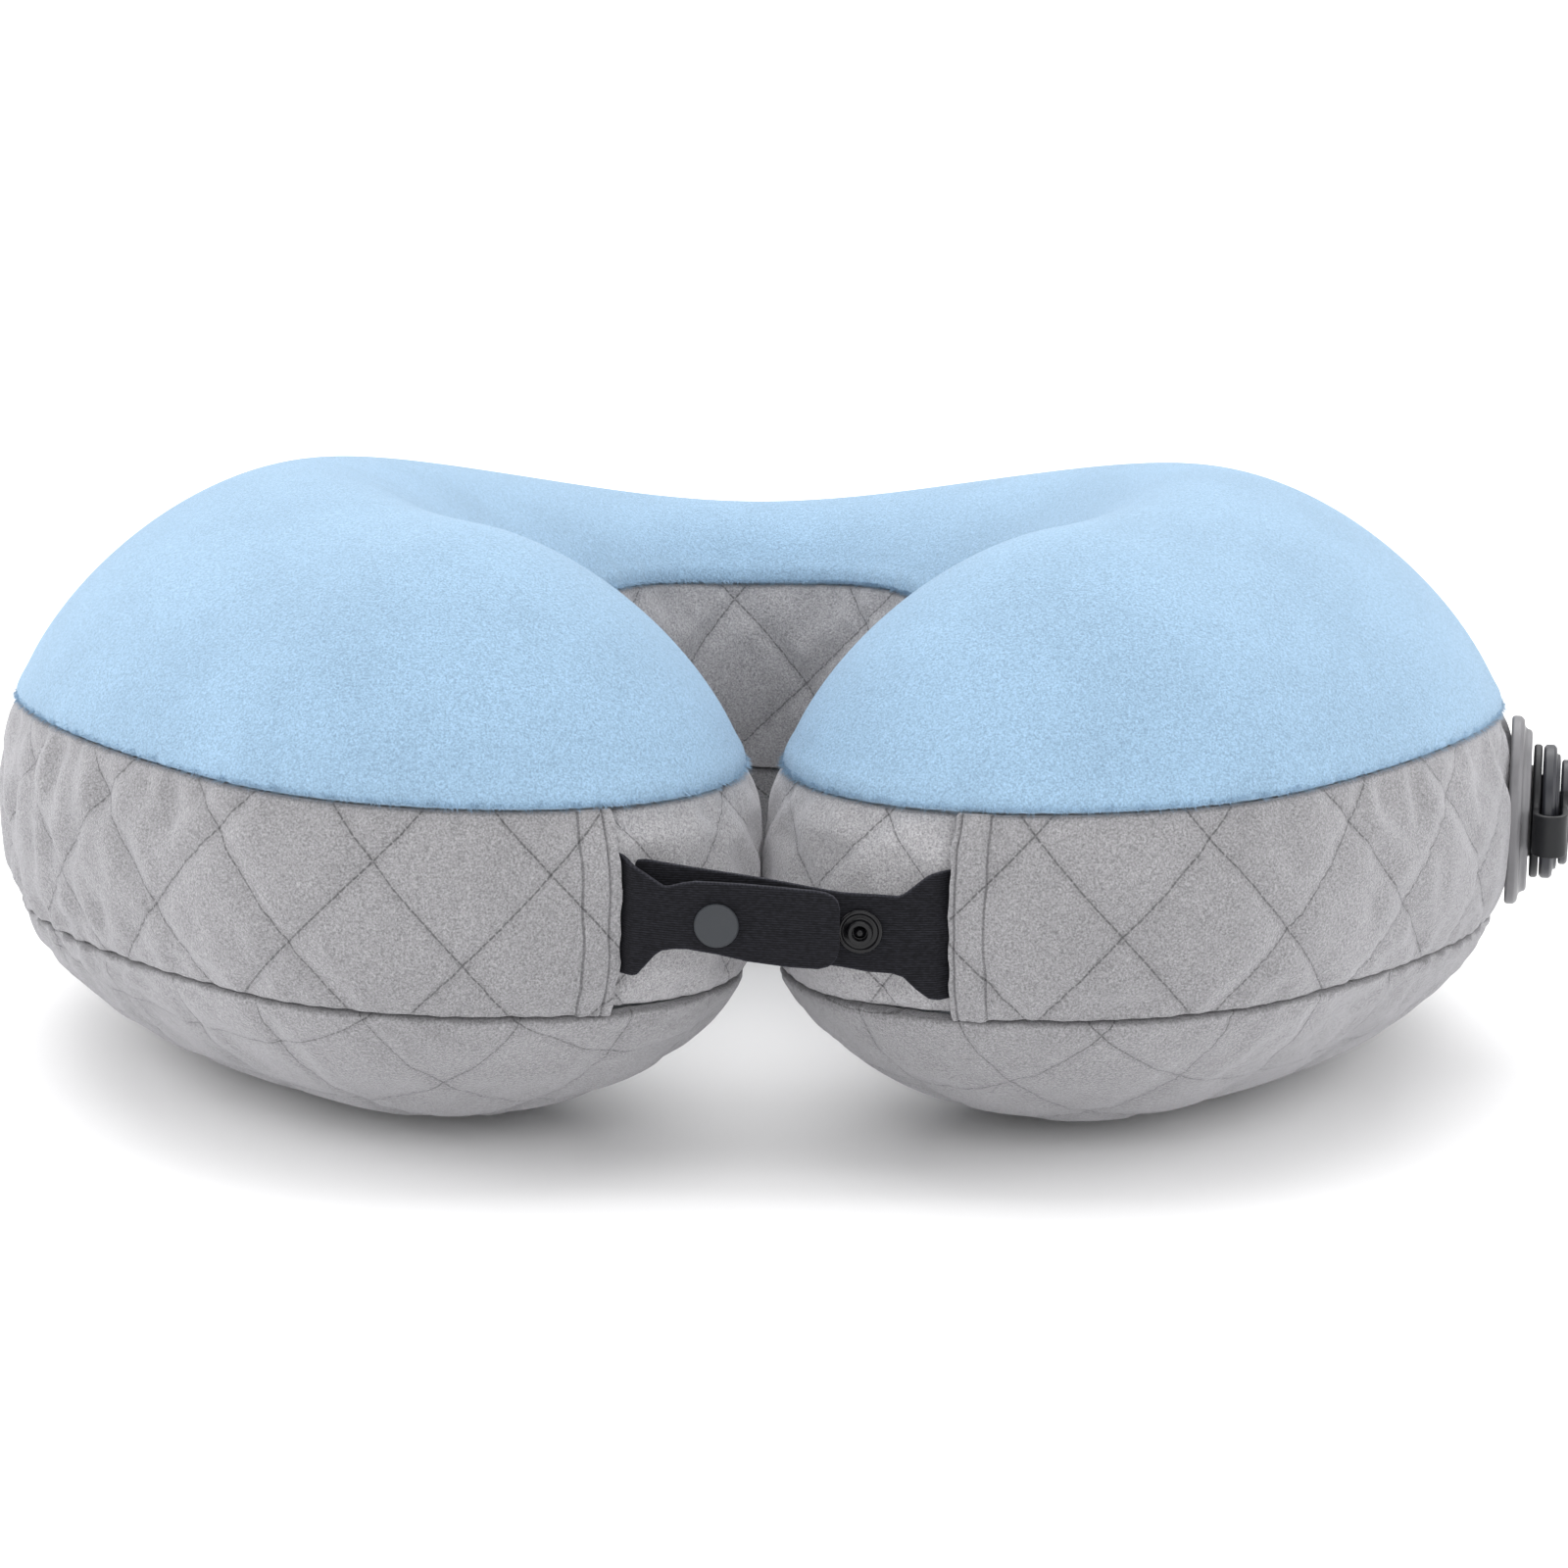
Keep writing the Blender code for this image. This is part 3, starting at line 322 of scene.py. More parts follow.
def skin(loop, level):
    """Points of the skin, one row of columns at this level."""
    upper, lower = loop["upper"], loop["lower"]
    up = np.clip(level, 0, 1) * math.pi / 2
    belly_out = loop["reach"] * np.sin(up) ** BELLY_FULLNESS[0]
    belly_z = lower - (lower - loop["base"]) * np.abs(np.cos(up)) ** BELLY_FULLNESS[1]
    share = np.clip(level - 1, 0, 1)
    band_out = loop["reach"] + BAND_BULGE * 4 * share * (1 - share)
    band_z = lower + (upper - lower) * share
    over = np.clip(3 - level, 0, 1) * math.pi / 2
    crown_out = loop["reach"] * np.abs(np.sin(over)) ** CROWN_FULLNESS[0]
    crown_z = upper + (loop["crest"] - upper) * np.abs(np.cos(over)) ** CROWN_FULLNESS[1]
    out = np.where(level <= 1, belly_out, np.where(level < 2, band_out, crown_out))
    z = np.where(level <= 1, belly_z, np.where(level < 2, band_z, crown_z))
    plan = loop["foot"] + loop["direction"] * out[:, None]
    return np.column_stack([plan, np.maximum(z, 0)])


def skin_grid(loop, levels):
    """Rows of skin points. levels has one row per level, and one value for each column in it."""
    return np.stack([skin(loop, row) for row in levels])


# %% Measuring round the loop
FINE_TURNS = np.linspace(0, 6, 4801)
middle_line = skin(columns(FINE_TURNS), np.full(len(FINE_TURNS), MID_BAND))
ARC = np.concatenate([[0], np.cumsum(np.linalg.norm(np.diff(middle_line, axis=0), axis=1))])


def arc_of(turn):
    """Distance round the middle of the band, negative on the left arm when the turn is."""
    whole = np.floor(np.asarray(turn) / 6)
    return np.interp(turn - whole * 6, FINE_TURNS, ARC) + whole * ARC[-1]


def turn_of(arc):
    whole = np.floor(np.asarray(arc) / ARC[-1])
    return np.interp(arc - whole * ARC[-1], ARC, FINE_TURNS) + whole * 6


def front_seam(x, first, last):
    """The turn on a tip's front where the middle of the band is at this distance from the U's middle."""
    turns = np.linspace(first, last, 801)
    found = skin(columns(turns), np.full(len(turns), MID_BAND))[:, 0] - CENTRE[0]
    nearest = int(np.argmin(np.abs(found)))
    order = np.argsort(found[:nearest])
    return float(np.interp(x, found[:nearest][order], turns[:nearest][order]))


RIGHT_SEAM = front_seam(RIGHT_SEAM_X, 1.0, 2.0)
LEFT_SEAM = front_seam(LEFT_SEAM_X, 5.0, 4.0) - 6
LOOP_LENGTH = ARC[-1]
print("loop is", round(LOOP_LENGTH / MM), "mm round")
print("front seams at turns", round(LEFT_SEAM, 3), "and", round(RIGHT_SEAM, 3))


def zip_gap(loop):
    """Half height of the opening that the zip closes, tapered to nothing at its ends."""
    x = np.abs(skin(loop, np.full(len(loop["reach"]), 1.0))[:, 0] - CENTRE[0])
    at_back = (loop["foot"][:, 1] > CENTRE[1]) & (loop["direction"][:, 1] > 0)
    share = np.clip((ZIP_HALF_LENGTH - x) / ZIP_TAPER, 0, 1)
    return np.where(at_back, ZIP_OPENING * share * share * (3 - 2 * share), 0)


def belly_level(loop, drop):
    """Level on the belly that lies this far below the lower seam."""
    depth = loop["lower"] - loop["base"]
    return np.arccos((np.maximum(drop, 0) / depth) ** (1 / BELLY_FULLNESS[1])) * 2 / math.pi


# %% [markdown]
# ## The quilting lattice
# The grey fabric is quilted in diamonds about 42 mm wide and 47 mm tall. A lattice is two families of
# lines: `first` and `second` count them, and a point is on a stitch line where either is a whole number.
# The band is cut along its length, so its lattice follows the distance round the loop. The belly is cut
# flat, so its lattice is straight on the fabric laid out flat.

# %% Lattice of each panel
def blend_over(value, start, end):
    share = np.clip((value - start) / (end - start), 0, 1)
    return share * share * (3 - 2 * share)


def diamonds(across, up):
    """The two families of lines, from the distances across and up counted in diamonds."""
    return across + up, across - up


def arm_lattice(arc, height, crossing, size, rise):
    """Diamonds of a size, from one crossing. Past it the rows climb a little, as the arm does."""
    climb = rise * np.tanh((arc - crossing[0]) / (60 * MM))
    return (arc - crossing[0]) / size[0], (height - crossing[1] - climb) / size[1]


LEFT_CROSSING, LEFT_DIAMOND, LEFT_RISE = (-472.9 * MM, 38.1 * MM), (42.3 * MM, 46 * MM), 3.9 * MM
RIGHT_CROSSING, RIGHT_DIAMOND, RIGHT_RISE = (460.6 * MM, 43.9 * MM), (42.8 * MM, 47 * MM), 3.3 * MM
DIAMONDS_BETWEEN = 22


def outer_lattice(arc, height):
    """Line counts on the outer band. The crossings are set a little differently on the two arms."""
    right = blend_over(arc, -250 * MM, 250 * MM)
    left_across, left_up = arm_lattice(arc, height, LEFT_CROSSING, LEFT_DIAMOND, LEFT_RISE)
    right_across, right_up = arm_lattice(arc, height, RIGHT_CROSSING, RIGHT_DIAMOND, RIGHT_RISE)
    across = (1 - right) * left_across + right * (right_across + DIAMONDS_BETWEEN)
    return diamonds(across, (1 - right) * left_up + right * right_up)


def inner_lattice(arc, height):
    return diamonds((arc - LOOP_LENGTH / 2 - 5.2 * MM) / (39 * MM), (height - 48.3 * MM) / (43 * MM))


def flat_lattice(x, y):
    return diamonds((x - 71 * MM) / (44 * MM), (y + 163 * MM) / (44 * MM))


LATTICE_PITCH = 31.5 * MM


def line_distance(count):
    return np.abs(count - np.round(count)) * LATTICE_PITCH


def nearest_line(lattice):
    return np.minimum(*map(line_distance, lattice))


# %% [markdown]
# ## Letting the cloth settle
# A sewn cover is never as smooth as its pattern: air pushes every panel out, the seams and the quilting
# hold it back, and the spare fabric buckles into small folds. Blender's cloth solver finds those folds.
# It runs on a coarse, closed copy of the skin, held fast at the seams, gently at the stitch lines and
# loosely elsewhere. Only the movement is kept, and the fine panels take it from there.

# %% A closed grid of skin
def even_turns(along_arm, round_tip):
    counts = (along_arm, round_tip, along_arm, along_arm, round_tip, along_arm)
    return np.concatenate([k + np.arange(count) / count for k, count in enumerate(counts)])


def spine_twins(along_arm, round_tip):
    """For each column, the column whose point on the spine line is the same one."""
    half = 2 * along_arm + round_tip
    right = np.arange(half + 1)
    past_arm = np.where(right <= along_arm + round_tip, along_arm, half - right)
    right = np.where(right > along_arm, past_arm, right)
    left = (2 * half - right[half - 1:0:-1]) % (2 * half)
    return np.concatenate([right, left])


def grid_faces(ids, closed):
    """Quads between the rows, with repeated corners dropped where the rows share a point."""
    following = np.roll(ids, -1, axis=1) if closed else ids[:, 1:]
    own = ids if closed else ids[:, :-1]
    quads = np.stack([own[:-1], own[1:], following[1:], following[:-1]], axis=-1).reshape(-1, 4)
    plain = (quads[:, 1] != quads[:, 2]) & (quads[:, 0] != quads[:, 3])
    faces = quads[plain].tolist()
    for quad in quads[~plain].tolist():
        face = list(dict.fromkeys(quad))
        if len(face) > 2:
            faces.append(face)
    return faces


def grid_mesh(name, points, ids, closed):
    """A mesh from a grid of points. ids names the point of each place, so shared places are one vertex."""
    used, first, compact = np.unique(ids, return_index=True, return_inverse=True)
    mesh = bpy.data.meshes.new(name)
    compact = compact.reshape(ids.shape)
    mesh.from_pydata(points.reshape(-1, 3)[used].tolist(), [], grid_faces(compact, closed))
    item = bpy.data.objects.new(name, mesh)
    bpy.context.scene.collection.objects.link(item)
    return item, used, compact


# %% Run the cloth
SIM_ARM, SIM_TIP = 96, 54
SIM_ROWS = (14, 12, 20)
SIM_FRAMES = 14
MOST_MOVE = 1.6 * MM
LOOSE, ON_BAND_STITCH, ON_BELLY_STITCH, FIRM = 0.02, 0.55, 0.5, 1.0
STITCH_REACH = 2.2 * MM
sim_turns = even_turns(SIM_ARM, SIM_TIP)
sim_levels = np.concatenate([k + np.arange(count) / count for k, count in enumerate(SIM_ROWS)] + [[3.0]])


def held_weights(loop, points):
    """How firmly each place is held: fully at the seams, well at the stitch lines, loosely elsewhere."""
    rows, count = points.shape[:2]
    weights = np.full((rows, count), LOOSE)
    whole_arc = arc_of(sim_turns)
    arc = np.where(sim_turns > 3, whole_arc - LOOP_LENGTH, whole_arc)
    outside = np.abs(arc) < LOOP_LENGTH / 3
    for i, level in enumerate(sim_levels):
        if 1 < level < 2:
            height = (level - 1) * (loop["upper"] - loop["lower"])
            near_outer = nearest_line(outer_lattice(arc, height))
            near = np.where(outside, near_outer, nearest_line(inner_lattice(whole_arc, height)))
            weights[i] = np.where(near < STITCH_REACH, ON_BAND_STITCH, LOOSE)
        elif level < 1:
            near = nearest_line(flat_lattice(points[i, :, 0], points[i, :, 1]))
            weights[i] = np.where(near < STITCH_REACH, ON_BELLY_STITCH, LOOSE)
    weights[[SIM_ROWS[0], SIM_ROWS[0] + SIM_ROWS[1]]] = FIRM
    return weights


def settle_cloth():
    """Movement of each place on the coarse grid."""
    loop = columns(sim_turns)
    levels = np.repeat(sim_levels[:, None], len(sim_turns), axis=1)
    points = skin_grid(loop, levels)
    ids = np.arange(points.shape[0] * points.shape[1]).reshape(points.shape[:2])
    twins = spine_twins(SIM_ARM, SIM_TIP)
    ids[0] = ids[0][twins]
    ids[-1] = ids[-1][twins]
    item, used, compact = grid_mesh("settling_cover", points, ids, True)
    held = item.vertex_groups.new(name="held")
    taut = item.vertex_groups.new(name="taut")
    for vertex, weight in enumerate(held_weights(loop, points).reshape(-1)[used]):
        held.add([vertex], float(weight), "REPLACE")
    for vertex, height in enumerate(levels.reshape(-1)[used]):
        taut.add([vertex], 1.0 if height > 2 else 0.0, "REPLACE")
    cloth = item.modifiers.new("cloth", "CLOTH")
    settings = cloth.settings
    settings.quality = 5
    settings.mass = 0.25
    settings.tension_stiffness = settings.compression_stiffness = 25
    settings.shear_stiffness = 8
    settings.bending_stiffness = 0.6
    settings.use_pressure = True
    settings.uniform_pressure_force = 1.6
    settings.vertex_group_mass = "held"
    settings.pin_stiffness = 6
    settings.vertex_group_shrink = "taut"
    settings.shrink_min = -0.03
    settings.shrink_max = 0.0
    settings.effector_weights.gravity = 0
    cloth.collision_settings.use_collision = False
    cloth.point_cache.frame_start = 1
    cloth.point_cache.frame_end = SIM_FRAMES
    for number in range(1, SIM_FRAMES + 1):
        bpy.context.scene.frame_set(number)
    moved = item.evaluated_get(bpy.context.evaluated_depsgraph_get()).to_mesh()
    settled = np.empty(len(moved.vertices) * 3)
    moved.vertices.foreach_get("co", settled)
    move = settled.reshape(-1, 3)[compact] - points.reshape(-1, 3)[used][compact]
    bpy.context.scene.frame_set(1)
    bpy.data.objects.remove(item, do_unlink=True)
    size = np.linalg.norm(move, axis=2, keepdims=True)
    return move * np.tanh(size / MOST_MOVE) * MOST_MOVE / np.maximum(size, 1e-9)


cloth_move = settle_cloth()
print("cloth moved up to", (np.linalg.norm(cloth_move, axis=2).max() / MM).round(2), "mm")


def cubic_weights(f):
    """Catmull-Rom weights of four neighbours."""
    return np.stack([
        -0.5 * f + f ** 2 - 0.5 * f ** 3,
        1 - 2.5 * f ** 2 + 1.5 * f ** 3,
        0.5 * f + 2 * f ** 2 - 1.5 * f ** 3,
        -0.5 * f ** 2 + 0.5 * f ** 3,
    ])


def movement(turns, levels):
    """The settled movement at fine columns and levels, read smoothly from the coarse grid."""
    count = len(sim_turns)
    index = np.interp(turns % 6, np.append(sim_turns, 6.0), np.arange(count + 1))
    base = np.floor(index).astype(int)
    weights = cubic_weights(index - base)
    by_turn = sum(weights[k][None, :, None] * cloth_move[:, (base + k - 1) % count] for k in range(4))
    row = np.interp(levels, sim_levels, np.arange(len(sim_levels)))
    base = np.floor(row).astype(int)
    weights = cubic_weights(row - base)
    own = np.arange(by_turn.shape[1])[None, :]
    last = len(sim_levels) - 1
    return sum(weights[k][..., None] * by_turn[np.clip(base + k - 1, 0, last), own] for k in range(4))


# %% [markdown]
# ## Building a panel
# Each panel is one sheet. Its base points come from the pattern, the settled movement is added, and then
# the sewing: a groove along each stitch line, a rolled edge at each seam, and two turned-in rows that
# carry the fabric inside. A wall modifier gives the sheet its real thickness.

# %% Normals and relief
def grid_normals(points, closed, spine_row=None):
    if closed:
        wide = np.concatenate([points[:, -1:], points, points[:, :1]], axis=1)
        along = (wide[:, 2:] - wide[:, :-2])
    else:
        along = np.gradient(points, axis=1)
    up = np.gradient(points, axis=0)
    normal = np.cross(up, along)
    normal /= np.maximum(np.linalg.norm(normal, axis=2, keepdims=True), 1e-12)
    if spine_row is not None:
        normal[spine_row] = (0, 0, 1 if spine_row == -1 else -1)
    return normal


def groove(distance, depth, width):
    return -depth * np.exp(-(distance / width) ** 2)


# Depth and width of the thread's own groove, and of the soft valley beside it
QUILT_GROOVES = ((0.32 * MM, 0.8 * MM), (0.22 * MM, 5 * MM))


def quilt_relief(first, second):
    """Stitch lines pulled in, and the wadding between them standing up a little."""
    off = [line_distance(count) for count in (first, second)]
    return sum(groove(distance, depth, width) for depth, width in QUILT_GROOVES for distance in off)


def rolled_edge(distance, radius):
    """Drop of a rounded edge: a quarter circle over the last stretch before the seam."""
    near = np.clip(1 - distance / radius, 0, 1)
    return -radius * (1 - np.sqrt(np.maximum(1 - near ** 2, 0)))


def ripple(value, middle, spread, pitch, height):
    """A few folds side by side, highest in the middle and fading to both sides."""
    off = value - middle
    return height * np.exp(-(off / spread) ** 2) * np.cos(off * math.tau / pitch)


def puckered(seam_distance, arc, reach, height, *pitches):
    """The small waves that sewing leaves beside a seam. Each pitch after the first is a step out of time."""
    waves = sum(np.cos(arc / pitch * math.tau + step) for step, pitch in enumerate(pitches))
    return height * np.exp(-seam_distance / reach) * waves


def store_points(item, name, values, kind="FLOAT_VECTOR"):
    attribute = item.data.attributes.new(name, kind, "POINT")
    field = "vector" if kind == "FLOAT_VECTOR" else "value"
    attribute.data.foreach_set(field, values.astype(np.float32).reshape(-1))


TURN_IN = ((1.2, 0.15), (3.2, -0.9))


def turned_in(points, normals, edge):
    """Two rows that carry a panel's edge inside, past its first row (0) or its last (-1)."""
    step = points[edge] - points[1 if edge == 0 else -2]
    step /= np.maximum(np.linalg.norm(step, axis=1, keepdims=True), 1e-9)
    rows = [points[edge] - normals[edge] * inwards * MM + step * onwards * MM for inwards, onwards in TURN_IN]
    for row in rows:
        row[:, 2] = np.maximum(row[:, 2], LOWEST)
    return np.stack(rows)


def cut_round_hole(item, axis, radius):
    """Deletes the faces within this distance of an axis, on its outer side."""
    inverse = axis.inverted()
    edit_all(item)
    bpy.ops.mesh.select_mode(type="FACE")
    bpy.ops.mesh.select_all(action="DESELECT")
    bpy.ops.object.mode_set(mode="OBJECT")
    for face in item.data.polygons:
        middle = inverse @ face.center
        face.select = middle.xy.length < radius and abs(middle.z) < 2 * radius
    bpy.ops.object.mode_set(mode="EDIT")
    bpy.ops.mesh.delete(type="FACE")
    bpy.ops.mesh.select_mode(type="VERT")
    bpy.ops.object.mode_set(mode="OBJECT")


def sew_panel(name, sheet, marks, material, edges, closed=True, twins_row=None, hole=None):
    """Makes a panel. sheet is its points, normals and relief, and edges lists the rows that turn in."""
    points, normals, relief = sheet
    points = points + normals * relief[..., None]
    points[..., 2] = np.maximum(points[..., 2], LOWEST)
    grid = points
    for edge in edges:
        inside = turned_in(points, normals, edge)
        same = np.repeat(marks[edge][None], 2, axis=0)
        grid = np.concatenate([inside[::-1], grid] if edge == 0 else [grid, inside])
        marks = np.concatenate([same, marks] if edge == 0 else [marks, same])
    ids = np.arange(grid.shape[0] * grid.shape[1]).reshape(grid.shape[:2])
    if twins_row is not None:
        ids[twins_row] = ids[twins_row][spine_twins(ARM_COLUMNS, TIP_COLUMNS)]
    item, used, compact = grid_mesh(name, grid, ids, closed)
    marks = marks.reshape(-1, 4)[used]
    store_points(item, "quilt", marks[:, :3])
    store_points(item, "stitching", marks[:, 3], "FLOAT")
    if hole:
        cut_round_hole(item, *hole)
    wall = item.modifiers.new("wall", "SOLIDIFY")
    wall.thickness = WALL
    wall.offset = -1
    apply_modifiers(item)
    smooth(item, 80)
    dress(item, material)
    print(name, triangles(item), "triangles")
    return item


def sewing_marks(first, second, seam_distance, stitching=0.0):
    """What the velour needs to know at each point: line counts, distance from the seam, hem stitches."""
    parts = [np.broadcast_to(part, seam_distance.shape) for part in (first, second, stitching)]
    return np.stack([parts[0], parts[1], seam_distance / MM, parts[2]], axis=-1)


ARM_COLUMNS, TIP_COLUMNS = 200, 120
WALL = 1.3 * MM


# %% [markdown]
# ## Velour
# Velour is a dense, short pile on a knitted back. Close up it is a fine speckle, because each tuft points
# its own way, and wider it has soft clouds where a hand has brushed the nap. Its fibres scatter light at
# grazing angles, which the shader's sheen gives. On the quilted panels the attribute `quilt` holds the
# two line counts and the distance from the seam, so the thread is drawn exactly in the grooves, and
# painted shade darkens the furrows beside the lines and the fabric towards the seams. The inner band's
# velour is painted lighter than the outer's, for the shade inside the U.

# %% Velour finishes
def times(tree, first, second):
    return work_out(tree, "MULTIPLY", first, second)


def thread_and_furrow_shade(tree, own, other):
    """Darkness of one family of stitch lines: a dashed dark thread, and painted shade in the faint furrow
    beside it.
    """
    off = times(tree, work_out(tree, "PINGPONG", own, 0.5), LATTICE_PITCH / MM)
    dash = work_out(tree, "PINGPONG", times(tree, other, LATTICE_PITCH / MM / 2.3), 0.5)
    thread = times(tree, ramp(tree, off, 0.1, 0.36, 1, 0), ramp(tree, dash, 0.05, 0.15, 0.35, 1))
    # Painted shade: the fabric is darkened a little up to 1.8 mm from the line, where the furrow lies.
    return times(tree, ramp(tree, thread, 0, 1, 1, 0.5), ramp(tree, off, 0.2, 1.8, 0.93, 1))


def velour(name, colour, speckle, sheen, sheen_colour, quilted):
    tree, shader = new_finish(name, Roughness=0.92, Sheen_Weight=sheen, Sheen_Roughness=0.42,
                              Sheen_Tint=(*sheen_colour, 1.0), Specular_IOR_Level=0.12)
    fine = noise(tree, 1900, 3, 0.8)
    tufts = noise(tree, 950, 2, 0.65)
    clouds = noise(tree, 34, 3, 0.55)
    brightness = work_out(tree, "MULTIPLY_ADD", fine, speckle, 1 - speckle / 2)
    for texture, change in ((tufts, 0.06), (clouds, 0.04)):
        brightness = times(tree, brightness, ramp(tree, texture, 0.3, 0.7, 1 - change, 1 + change))
    if quilted:
        marks = add_node(tree, "ShaderNodeAttribute", attribute_name="quilt").outputs["Vector"]
        first, second, seam = add_node(tree, "ShaderNodeSeparateXYZ", {0: marks}).outputs
        stitching = add_node(tree, "ShaderNodeAttribute", attribute_name="stitching").outputs["Fac"]
        brightness = times(tree, brightness, thread_and_furrow_shade(tree, first, second))
        brightness = times(tree, brightness, thread_and_furrow_shade(tree, second, first))
        # Darker towards the seam: painted shade in the seam's groove, together with the seam's dark
        # stitching.
        brightness = times(tree, brightness, ramp(tree, seam, 0.1, 1.4, 0.72, 1))
        brightness = times(tree, brightness, ramp(tree, stitching, 0.1, 0.8, 1, 0.55))
    tint(tree, shader, colour, brightness)
    height = work_out(tree, "ADD", fine, times(tree, tufts, 0.7))
    bump(tree, shader, height, 0.4 * MM, 0.75)
    return finish_of(tree)


blue_velour = velour("blue_velour_pile", (0.255, 0.38, 0.512), 1.35, 0.4, (0.72, 0.86, 1.0), False)
grey_velour = velour("grey_quilted_velour", (0.255, 0.252, 0.261), 2.2, 0.6, (0.96, 0.95, 1.0), True)
# The inner band is the same grey velour as the outer, painted lighter to stand in for the light that the
# inside of the U lacks.
inner_velour_painted_lighter = velour("grey_inner_velour", (0.35, 0.345, 0.357), 2.2, 0.6, (0.96, 0.95, 1.0), True)
print("velour finishes made")

# %% [markdown]
# ## The blue crown
# The crown is one stretchy piece, smooth except for a slightly puckered edge where it meets the bands.
# Its pile stands over the seam, so the edge rolls in with a generous radius.

# %% Sew the crown
def arc_up(points):
    """Distance along each column from the first row."""
    step = np.linalg.norm(np.diff(points, axis=0), axis=2)
    return np.concatenate([np.zeros((1, points.shape[1])), np.cumsum(step, axis=0)])


turns = even_turns(ARM_COLUMNS, TIP_COLUMNS)
loop = columns(turns)
rise = np.linspace(0, 1, 58) ** 1.3
levels = np.repeat((2 + rise)[:, None], len(turns), axis=1)
base = skin_grid(loop, levels)
normals = grid_normals(base, True, -1)
seam_distance = arc_up(base)
arc = arc_of(turns)
pucker = puckered(seam_distance, arc, 5 * MM, 0.2 * MM, 8.3 * MM, 5.1 * MM)
shoulder = 0.55 * MM * np.exp(-((seam_distance - 3.5 * MM) / (3 * MM)) ** 2)
relief = rolled_edge(seam_distance, 1.2 * MM) + shoulder + pucker
sheet = (base + movement(turns, levels), normals, relief)
marks = sewing_marks(0, 0, seam_distance)
crown = sew_panel("crown_velour", sheet, marks, blue_velour, (0,), twins_row=-1)
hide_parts("cover_top_panel")
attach(crown, "pillow")

# %% [markdown]
# The pile stands out past the cut edge, so the crown's seam is not a clean line: short fibres lean over it
# and hide most of the groove. Each fibre is a thin closed spike of four faces.

# %% Fibres along the crown's seam
FIBRE_HALF_WIDTH = 0.08 * MM


def fibres(name, count, material):
    random = np.random.default_rng(4)
    turns = random.uniform(0, 6, count)
    levels = 2 + random.uniform(0.0, 0.05, count)
    loop = columns(turns)
    base = skin(loop, levels)
    ahead = skin(columns(turns + 0.002), levels) - base
    above = skin(loop, levels + 0.02) - base
    ahead /= np.linalg.norm(ahead, axis=1, keepdims=True)
    above /= np.linalg.norm(above, axis=1, keepdims=True)
    out = np.cross(above, ahead)
    outward = np.column_stack([loop["direction"], np.zeros(count)])
    out *= np.sign(np.sum(out * outward, axis=1))[:, None]
    base += above * 0.8 * MM - out * 0.25 * MM
    lean = random.normal(0, 0.45, (count, 1))
    fall = random.uniform(0.35, 1.1, (count, 1))
    along = out + ahead * lean - above * fall
    along /= np.linalg.norm(along, axis=1, keepdims=True)
    tip = base + along * random.uniform(1.2, 2.8, (count, 1)) * MM
    side = np.cross(along, ahead)
    ahead, side = ahead * FIBRE_HALF_WIDTH, side * FIBRE_HALF_WIDTH
    corners = [base + ahead, base - ahead + side, base - ahead - side, tip]
    points = np.stack(corners, axis=1).reshape(-1, 3)
    points[:, 2] = np.maximum(points[:, 2], 0)
    spike = np.array([(0, 1, 2), (0, 3, 1), (1, 3, 2), (2, 3, 0)])
    faces = (np.arange(count)[:, None, None] * 4 + spike).reshape(-1, 3)
    mesh = bpy.data.meshes.new(name)
    mesh.from_pydata(points.tolist(), [], faces.tolist())
    item = bpy.data.objects.new(name, mesh)
    bpy.context.scene.collection.objects.link(item)
    edit_all(item)
    bpy.ops.mesh.normals_make_consistent(inside=False)
    bpy.ops.object.mode_set(mode="OBJECT")
    dress(item, material)
    print(name, triangles(item), "triangles")
    return item


fuzz = fibres("crown_edge_fibres", 15000, blue_velour)
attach(fuzz, "pillow")

# %% [markdown]
# ## The grey belly
# The belly closes the cover underneath. It rests on two flat patches, and where the loop is tightest its
# edge gathers into short slanting folds.

# %% Sew the belly
BELLY_CALM = 0.6
rise = 1 - np.linspace(1, 0, 48) ** 1.3
top_level = belly_level(loop, zip_gap(loop) + SEAM_GAP)
levels = rise[:, None] * top_level[None, :]
base = skin_grid(loop, levels)
normals = grid_normals(base, True, 0)
from_spine = arc_up(base)
seam_distance = from_spine[-1] - from_spine
flat = loop["foot"][None] + loop["direction"][None] * from_spine[..., None]
first, second = flat_lattice(flat[..., 0], flat[..., 1])
near_seam = np.exp(-seam_distance / (14 * MM))
left_folds = ripple(arc - 0.6 * seam_distance, LOOP_LENGTH - 361 * MM, 42 * MM, 11 * MM, 0.8 * MM)
right_folds = ripple(arc + 0.5 * seam_distance, 368 * MM, 26 * MM, 10 * MM, 0.6 * MM)
folds = (left_folds + right_folds) * near_seam
pucker = puckered(seam_distance, arc, 4 * MM, 0.2 * MM, 7.1 * MM)
relief = rolled_edge(seam_distance, 1.0 * MM) + quilt_relief(first, second) + folds + pucker
sheet = (base + BELLY_CALM * movement(turns, levels), normals, relief)
marks = sewing_marks(first, second, seam_distance)
belly = sew_panel("belly_velour", sheet, marks, grey_velour, (-1,), twins_row=0)
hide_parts("cover_bottom_panel")
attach(belly, "pillow")

# %% [markdown]
# ## The outer band and its hems
# The outer band runs from one front seam, round the back, to the other. At both ends it is folded under
# and sewn down twice, so a hem about 9 mm wide stands a little above the panel that it overlaps. The
# straps come out from under these hems.

